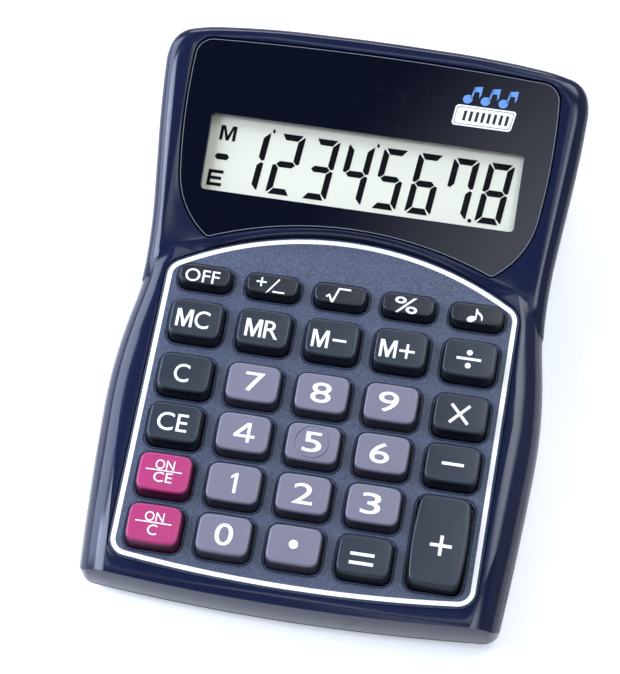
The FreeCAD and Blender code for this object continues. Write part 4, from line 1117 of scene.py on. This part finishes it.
# %% [markdown]
# ## The display cell
#
# The digits of a liquid crystal display stand dark before a pale film. Each digit
# is seven bars with mitred ends in a cell that leans to the right. Here the cell's
# face is opaque and pale, and the bars lie just above it, so that only the pane of
# the window has to let light through.

# %% The seven bars of a digit
cell_width, cell_height, bar_width, mitre = 6.7, 16.0, 1.62, 0.17
cell_lean, letter_lean, lean_foot = 0.108, 0.0432, 25
cell_pitch, first_cell, cell_foot = 9.08, -33.35, 17.5
lit_bars = {1: "bc", 2: "abdeg", 3: "abcdg", 4: "bcfg", 5: "acdfg", 6: "acdefg", 7: "abcf", 8: "abcdefg"}


def seven_bars():
    """The outlines of bars a to g in an upright cell with its lower left corner at the origin."""
    w, t, d = cell_width, bar_width, mitre
    top, half = cell_height, cell_height / 2
    upper_left = [(0, top - 0.5), (0.3, top - 0.3 - d), (t, top - t - d), (t, half + 0.5 * t + 0.3),
                  (0.45 * t, half + d), (0, half + 0.45)]
    upper_right = [(w - x, y) for x, y in upper_left]
    lower_left = [(x, top - y) for x, y in upper_left]
    lower_right = [(w - x, top - y) for x, y in upper_left]
    top_bar = [(0.5 + d, top), (w - 0.5 - d, top), (w - t - d, top - t), (t + d, top - t)]
    foot_bar = [(x, top - y) for x, y in top_bar]
    middle_bar = [(0.45 * t + d, half), (t + 0.1, half + t / 2), (w - t - 0.1, half + t / 2),
                  (w - 0.45 * t - d, half), (w - t - 0.1, half - t / 2), (t + 0.1, half - t / 2)]
    return {"a": top_bar, "b": upper_right, "c": lower_right, "d": foot_bar,
            "e": lower_left, "f": upper_left, "g": middle_bar}


def leaned(outline, x0):
    return [(x0 + x + cell_lean * y, cell_foot + y) for x, y in outline]


bars = seven_bars()
lit = [[leaned(bars[letter], first_cell + cell_pitch * (digit - 1))]
       for digit, letters in lit_bars.items() for letter in letters]
small_signs = [[[(x, 33.0), (x + 0.42, 33.7), (x, 34.4), (x - 0.42, 33.7)]] for x in (-24.3, 3.0)]
small_signs.append([disc(29.0, 17.75, 0.52)])
small_signs.append([[(-38.7, 25.3), (-38.1, 26.1), (-35.5, 26.1), (-34.9, 25.3), (-35.5, 24.5),
                     (-38.1, 24.5)]])
letters = [printed_signs(block_letter("M", -36.4, 31.6, 4.2, 3.9, 0.21)),
           printed_signs(block_letter("E", -37.5, 19.6, 3.9, 4.2, 0.2))]
for piece in letters:
    for point in piece.data.vertices:
        point.co.x += letter_lean * (point.co.y - lean_foot * mm)
marks = joined([printed_signs(*lit, *small_signs)] + letters)
cell_top = max((display.inverted() @ point.co).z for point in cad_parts["lcd_front_glass"].data.vertices)
marks.data.transform(Matrix.Translation((0, 0, cell_top + ink * mm)))
settle(marks, "display_marks", display, "body", segment_finish)
print("bars shown:", len(lit))

# %% Give the cell its pale face
cell_face = moulded("cell_face", shade(238, 238, 216), 0.3, grain_mm=0.15, depth_mm=0.001, tint=0.02, IOR=1.5)
for name in ("lcd_front_glass", "lcd_rear_glass"):
    dress(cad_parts[name], cell_face)
print("the cell's face lies", round(-cell_top / mm, 2), "mm under the lens")

# %% [markdown]
# ## Feet and screws of the underside
#
# Four rubber feet are low discs with a rounded rim. Four pan-headed screws with a
# cross slot stand deep in their openings. Each kind is modelled once and copied.

# %% Model a foot and a screw
def turned_disc(radius, low, high, rim, segments):
    """A disc round the origin whose lower rim is rounded, in millimetres."""
    start_fresh()
    bpy.ops.mesh.primitive_cylinder_add(vertices=segments, radius=radius * mm, depth=(high - low) * mm,
                                        location=(0, 0, (low + high) / 2 * mm))
    bpy.ops.object.transform_apply(location=True, rotation=True, scale=True)
    piece = bpy.context.object
    choose(piece, "EDGE", at_height(low * mm))
    bpy.ops.mesh.bevel(offset=rim * mm, segments=4, affect="EDGES")
    stop_editing()
    return piece


foot_pattern = turned_disc(4.0, 0.0, 1.3, 0.3, 48)
screw_head_low, screw_head_high, screw_tip = 0.95, 2.45, 8.85
overlap, hidden_rim = 0.01, 0.0001
slot_size = (2.6 * mm, 0.5 * mm, 1.4 * mm)
slot_turn = 20
head = turned_disc(2.3, screw_head_low, screw_head_high, 0.6, 36)
for turn in (slot_turn, slot_turn + 90):
    start_fresh()
    bpy.ops.mesh.primitive_cube_add(size=1, location=(0, 0, screw_head_low * mm), scale=slot_size,
                                    rotation=(0, 0, math.radians(turn)))
    cut_away(head, bpy.context.object)
shank = turned_disc(1.1, screw_head_high - overlap, screw_tip, hidden_rim, 24)
screw_pattern = joined([head, shank])
print("faces of a foot and a screw:", len(foot_pattern.data.polygons), len(screw_pattern.data.polygons))

# %% Copy them to their corners
def copied_to(pattern, places, name, finish, node):
    for i, (x, y) in enumerate(places):
        copy = new_object("copy", pattern.data.copy())
        settle(copy, "%s_%d" % (name, i + 1), Matrix.Translation((x * mm, y * mm, 0)), "body", finish)
        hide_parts(node)
    bpy.data.objects.remove(pattern)


foot_places = [(-37, -62), (37, -62), (-34, 60), (34, 60)]
screw_places = [(-45.4, -65.6), (45.4, -65.6), (-42.5, 61), (42.5, 61)]
copied_to(foot_pattern, foot_places, "foot", foot_finish, "rubber_feet")
copied_to(screw_pattern, screw_places, "case_screw", steel_finish, "case_screws")
print("feet and screws:", len(foot_places), len(screw_places))
